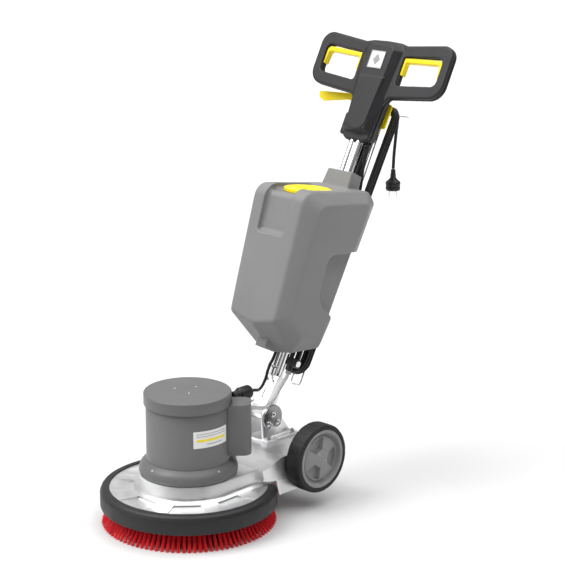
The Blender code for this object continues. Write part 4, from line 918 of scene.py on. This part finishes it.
cut(clamp, disc("lock_rod_way", 0.004, 0.4, 0.6, HANDLE, (0.0, 0.0165, 0.0), segments=32))
show(soften(clamp, 0.0015, 3), STEEL, "handle", "hook_clamp")

# ---------------------------------------------------------------- head
half_head = [
    (0.0, 1.015, 0.0), (0.048, 1.013, 0.01), (0.07, 1.008, 0.01), (0.224, 1.025, 0.033),
    (0.224, 0.879, 0.042), (0.064, 0.862, 0.01), (0.05, 0.84, 0.0), (0.047, 0.79, 0.0),
    (0.044, 0.746, 0.008), (0.03, 0.738, 0.0),
]
head_outline = rounded(half_head + [(-x, z, r) for x, z, r in reversed(half_head[1:])], 10)
opening_outline = rounded([(0.0717, 0.9775, 0.008), (0.1985, 0.988, 0.016), (0.1985, 0.9095, 0.016),
                           (0.0717, 0.8975, 0.008)], 10)


def head_shell(name, low, high, bulges, hollow, node):
    """A half of the head: the flat loops with a bulge over the tubes, opened for the grips and the tubes."""
    shell = extrude(name, head_outline, low, high, HANDLE, "XZ")
    soften(shell, 0.005, 4, 50.0)
    for side in (-1.0, 1.0):
        opening = [(side * x, z) for x, z in opening_outline]
        cut(shell, extrude("grip_opening", opening, -0.05, 0.05, HANDLE, "XZ"))
    for bulge in bulges:
        unite(shell, bulge)
    cut(shell, hollow)
    for side in (-1.0, 1.0):
        cut(shell, disc("socket", TUBE_RADIUS + 0.0004, 0.7, 0.772, HANDLE, (side * TUBE_OFFSET, 0.0, 0.0)))
    mould(shell, 0.0016, 3)
    return show(shell, HEAD_PLASTIC, "handle", node, angle=60.0)


def face_loft(name, faces):
    """A bulge through outlines at given depths."""
    return loft(name, [[(x, back, z) for x, z in outline] for outline, back in faces], HANDLE)


front_low = both_halves([(0.049, 0.757), (0.069, 0.99), (0.052, 1.0085)])
front_high = both_halves([(0.033, 0.768), (0.043, 0.985), (0.034, 0.997)])
front_bulge = face_loft("front_bulge", ((front_low, -0.009), (front_high, -0.0295)))
shield_low = both_halves([(0.0, 0.758), (0.024, 0.7625), (0.033, 0.775), (0.044, 0.9105)])
shield_high = both_halves([(0.0, 0.7635), (0.021, 0.7675), (0.03, 0.78), (0.0405, 0.907)])
shield = face_loft("shield", ((shield_low, -0.027), (shield_high, -0.0318)))
front_hollow = block("front_hollow", (-0.034, -0.024, 0.79), (0.034, 0.02, 0.985), HANDLE)
head_shell("head_front", -0.0125, -0.0002, [front_bulge, shield], front_hollow, "head_front_shell")
rear_low = [(-0.04, 0.744), (0.04, 0.744), (0.06, 0.985), (0.048, 1.006), (-0.048, 1.006), (-0.064, 0.985)]
rear_high = [(-0.04, 0.748), (0.036, 0.748), (0.045, 0.965), (0.036, 0.99), (-0.036, 0.99), (-0.045, 0.965)]
rear_bulge = face_loft("rear_bulge", ((rear_low, 0.005), (rear_high, 0.0298)))
cord_entry = block("cord_entry", (-0.07, 0.0009, 0.7537), (-0.039, 0.0172, 0.813), HANDLE)
rear_hollow = block("rear_hollow", (-0.032, -0.02, 0.79), (0.032, 0.024, 0.96), HANDLE)
rear_bulges = [rear_bulge, soften(cord_entry, 0.005, 3)]
head_shell("head_rear", 0.0002, 0.0105, rear_bulges, rear_hollow, "head_rear_shell")
for number, (x, z) in enumerate(((-0.03, 0.975), (0.03, 0.975), (0.0, 0.77), (-0.19, 0.894), (0.19, 0.894))):
    back = 0.0298 if abs(x) < 0.1 else 0.0102
    screw(f"head_screw_{number}", facing((x, back, z), (0, 1, 0), HANDLE), 0.0036, 0.001, "handle")
BADGE_MIDDLE = 0.955
BADGE_HALF = 0.024
badge_outline = rounded_rectangle(BADGE_HALF, BADGE_MIDDLE - BADGE_HALF, BADGE_MIDDLE + BADGE_HALF, 0.002)


def smaller_badge(scale):
    """The badge outline shrunk about its middle."""
    return [(scale * x, BADGE_MIDDLE + scale * (z - BADGE_MIDDLE)) for x, z in badge_outline]


badge = extrude("badge_frame", badge_outline, -0.0313, -0.029, HANDLE, "XZ")
cut(badge, extrude("badge_inner", smaller_badge(0.9), -0.033, -0.0305, HANDLE, "XZ"))
show(badge, CHROME, "handle", "name_badge")
show(extrude("badge_field", smaller_badge(0.88), -0.0309, -0.03, HANDLE, "XZ"), WHITE_LABEL, "handle")
diamond_outline = [
    (0.0, BADGE_MIDDLE - 0.016), (0.012, BADGE_MIDDLE), (0.0, BADGE_MIDDLE + 0.016), (-0.012, BADGE_MIDDLE),
]
diamond = extrude("badge_diamond", diamond_outline, -0.0312, -0.0303, HANDLE, "XZ")
show(soften(diamond, 0.0002, 1), GREY_LABEL, "handle")

lever_corners = [
    (0.0728, 0.929, 0.001), (0.0728, 0.9755, 0.003), (0.1965, 0.9815, 0.012), (0.1965, 0.933, 0.0015),
    (0.193, 0.933, 0.0015), (0.189, 0.969, 0.008), (0.079, 0.964, 0.003), (0.079, 0.929, 0.001),
]
for side_name, side in SIDES:
    outline = [(side * x, z) for x, z in rounded(lever_corners, 8)]
    lever = extrude(f"grip_lever_{side_name}", outline, -0.008, 0.01, HANDLE, "XZ")
    show(soften(lever, 0.0014, 3), YELLOW_PLASTIC, f"{side_name}_switch", f"switch_lever_{side_name}")
release_corners = [
    (0.05, 0.79, 0.006), (0.05, 0.856, 0.008), (-0.04, 0.871, 0.004), (-0.108, 0.8715, 0.0),
    (-0.213, 0.8655, 0.004), (-0.205, 0.848, 0.006), (-0.187, 0.84, 0.006), (-0.108, 0.853, 0.01),
    (-0.046, 0.852, 0.004), (-0.038, 0.79, 0.004),
]
release = extrude("release_blade", rounded(release_corners, 8), 0.0303, 0.035, HANDLE, "XZ")
show(soften(release, 0.0014, 3), YELLOW_PLASTIC, "release", "release_lever")

# ---------------------------------------------------------------- mains cord, plug, cable and hose
gland_frame = HANDLE @ Matrix.Translation((0.03, 0.01, 0.7377)) @ Matrix.Rotation(math.radians(194.0), 4, "X")
gland_profile = [(0.0, 0.0012), (0.0078, 0.0012), (0.0085, 0.0025), (0.0085, 0.006), (0.007, 0.0072)]
for rib in range(6):
    low = 0.009 + rib * 0.006
    reach = 0.007 - rib * 0.0003
    gland_profile += [
        (reach - 0.001, low), (reach, low + 0.0008), (reach, low + 0.0038), (reach - 0.001, low + 0.0046),
    ]
gland_profile += [(0.005, 0.0465), (0.0048, 0.048), (0.0, 0.048)]
show(lathe("cord_gland", gland_profile, gland_frame, segments=40), BLACK_PLASTIC, "handle", "mains_gland")

HANK_TOP = 0.83
HANK_BOTTOM = 0.158
HANK_TOP_BEND = 0.0295
HANK_BOTTOM_BEND = 0.0325
HANK_SLOTS = [(-0.004, -0.0129), (-0.004, -0.0043), (-0.004, 0.0043), (-0.004, 0.0129),
              (0.004, 0.0086), (0.004, 0.0), (0.004, -0.0086), (0.011, 0.0215)]


def hank_point(across, along, depth):
    """A point of the wound cord, which leans from the lower hook back to the upper hook."""
    back = 0.0575 + (along - 0.125) * 0.03197
    return across, back + depth, along


def eased(part):
    """Runs from 0 to 1 with a soft start and a soft end."""
    return part * part * (3.0 - 2.0 * part)


lead_start = (0.03, 0.0226, 0.6908)
cord_route = [
    lead_start, (0.0292, 0.0262, 0.676), (0.0282, 0.0335, 0.658), (0.0266, 0.0435, 0.632),
    (0.0248, 0.051, 0.6), (0.0222, 0.055, 0.56),
]
for turn in range(7):
    outward, depth = HANK_SLOTS[turn]
    next_outward, next_depth = HANK_SLOTS[turn + 1]
    arm_steps = range(1, 10) if turn else range(5, 10)
    for step in arm_steps:
        part = step / 10.0
        across = HANK_TOP_BEND + (HANK_BOTTOM_BEND - HANK_TOP_BEND) * part + outward
        cord_route.append(hank_point(across, HANK_TOP + (HANK_BOTTOM - HANK_TOP) * part, depth))
    for across, along in arc((0.0, HANK_BOTTOM), HANK_BOTTOM_BEND + outward, 0.0, -180.0, 8):
        cord_route.append(hank_point(across, along, depth))
    for step in range(1, 10):
        part = step / 10.0
        shift = eased(part)
        wide = 0.0085 * math.sin(math.pi * shift) if turn == 6 else 0.0
        out_now = outward + (next_outward - outward) * shift + wide * (1.0 - shift)
        across = -(HANK_BOTTOM_BEND + (HANK_TOP_BEND - HANK_BOTTOM_BEND) * part + out_now)
        depth_now = depth + (next_depth - depth) * shift
        cord_route.append(hank_point(across, HANK_BOTTOM + (HANK_TOP - HANK_BOTTOM) * part, depth_now))
    if turn < 6:
        for across, along in arc((0.0, HANK_TOP), HANK_TOP_BEND + next_outward, 180.0, 0.0, 8):
            cord_route.append(hank_point(across, along, next_depth))
plug_route = [
    (-0.04, 0.1005, 0.829), (-0.035, 0.1005, 0.848), (-0.021, 0.1003, 0.863), (-0.003, 0.1003, 0.866),
    (0.011, 0.1012, 0.86), (0.018, 0.106, 0.842), (0.018, 0.117, 0.811), (0.016, 0.131, 0.78),
    (0.0135, 0.145, 0.752), (0.012, 0.161, 0.7216),
]
cord_route += plug_route


def cord_piece(name, path, radius, place, material):
    """A round cord as a curve of one open spline."""
    data = bpy.data.curves.new(name, "CURVE")
    data.dimensions = "3D"
    data.bevel_depth = radius
    data.bevel_resolution = 3
    data.use_fill_caps = True
    spline = data.splines.new("POLY")
    spline.points.add(len(path) - 1)
    for point, spot in zip(spline.points, path):
        point.co = (*(place @ Vector(spot)), 1.0)
    spline.use_smooth = True
    data.materials.append(material)
    piece = bpy.data.objects.new(name, data)
    bpy.context.scene.collection.objects.link(piece)
    return piece


cord_path = smooth_path(cord_route, 3)
mains_cord = cord_piece("mains_cord", cord_path, CORD_RADIUS, HANDLE, CORD_RUBBER)
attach(mains_cord, "handle")
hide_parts("mains_lead", "cord_hank", "plug_lead")

PLUG_TOP = HANDLE @ Vector(plug_route[-1])
PLUG = Matrix.Translation(PLUG_TOP)
plug_profile = [(0.0, -0.002), (0.005, -0.002), (0.0058, -0.003)]
for rib in range(4):
    low = -0.005 - rib * 0.0045
    reach = 0.0062 + rib * 0.0005
    plug_profile += [
        (reach, low), (reach, low - 0.003), (reach - 0.0009, low - 0.0034), (reach - 0.0009, low - 0.0042),
    ]
plug_profile += [
    (0.0085, -0.025), (0.0108, -0.0285), (0.015, -0.0325), (0.0188, -0.0352), (0.02, -0.0385), (0.02, -0.045),
    (0.0192, -0.0462), (0.0192, -0.0476), (0.02, -0.0488), (0.02, -0.0562), (0.0188, -0.058), (0.0, -0.058),
]
plug = lathe("plug_body", plug_profile, PLUG, segments=64)
for side in (-1.0, 1.0):
    scallop_frame = PLUG @ Matrix.Rotation(math.radians(45.0), 4, "Z")
    cut(plug, disc("scallop", 0.012, -0.075, -0.04, scallop_frame, (side * 0.029, 0.0, 0.0), segments=40))
show(soften(plug, 0.0006, 2, 50.0), BLACK_PLASTIC, "handle", "mains_plug")
for number, side in enumerate((-1.0, 1.0)):
    pin_place = (side * 0.0068, side * 0.0066, 0.0)
    pin_profile = [(0.0, -0.056), (0.0024, -0.056), (0.0024, -0.075), (0.0018, -0.0763), (0.0, -0.0765)]
    pin = lathe(f"plug_pin_{number}", pin_profile, PLUG, pin_place, segments=24)
    show(pin, CHROME, "handle")

cable_route = [
    HANDLE.inverted() @ DECK @ Vector((BOOT_X, 0.1725, BOOT_Z)),
    (0.045, -0.1148, 0.037),
    (0.0445, -0.1071, 0.0395),
    (0.0415, -0.0968, 0.0415),
    (0.037, -0.087, 0.0433),
    (0.03, -0.0736, 0.0482),
    (0.018, -0.0545, 0.061),
    (0.004, -0.037, 0.082),
    (-0.008, -0.0256, 0.0992),
    (-0.0125, -0.0205, 0.118),
    (-0.012, -0.0175, 0.132),
    (-0.0115, -0.0162, 0.15),
    (-0.0085, -0.016, 0.2),
    (-0.0085, -0.016, 0.24),
    (-0.0085, -0.016, 0.28),
]
hose_route = [
    DECK.inverted() @ HANDLE @ Vector((HOSE_X, HOSE_BACK, 0.1112)),
    (0.036, 0.3095, 0.3022),
    (0.042, 0.2779, 0.2807),
    (0.048, 0.2496, 0.2601),
    (0.051, 0.2189, 0.2505),
    (0.055, 0.1939, 0.2555),
    (0.058, 0.168, 0.263),
    (0.053, 0.15, 0.26),
    (0.042, 0.143, 0.246),
    (0.028, 0.14, 0.22),
    (0.016, 0.141, 0.187),
    (0.01, 0.143, 0.158),
    (0.01, 0.143, 0.1365),
]


def bending_cord(name, route, place, radius, material, node):
    """A tube swept along a smooth path through its route, its points baked into world space."""
    path = smooth_path(route, 6)
    piece = shade(sweep(name, path, radius, place, 20), material, 60.0)
    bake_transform(piece)
    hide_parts(node)


bending_cord("motor_lead", cable_route, HANDLE, MOTOR_CABLE_RADIUS, CORD_RUBBER, "motor_cable")
bending_cord("solution_hose", hose_route, DECK, HOSE_RADIUS, CLEAR_HOSE, "water_hose")

# ---------------------------------------------------------------- CAD pieces that stay as they are
KEPT = {
    STEEL: (
        "end_shield", "upper_bearing", "stator_core", "rotor", "lower_bearing", "gearbox_housing",
        "ring_gear", "planet_carrier", "planet_gear_1", "planet_gear_2", "planet_gear_3", "output_bearing",
        "drive_plate", "axle", "hinge_pin", "lock_rod",
    ),
    COPPER: ("winding_upper", "winding_lower"),
    BLACK_PLASTIC: ("cooling_fan", "capacitor", "safety_switch"),
}
for material, names in KEPT.items():
    for name in names:
        for slot in frame["nodes"][name].material_slots:
            slot.link = "OBJECT"
            slot.material = material

bpy.context.view_layer.update()
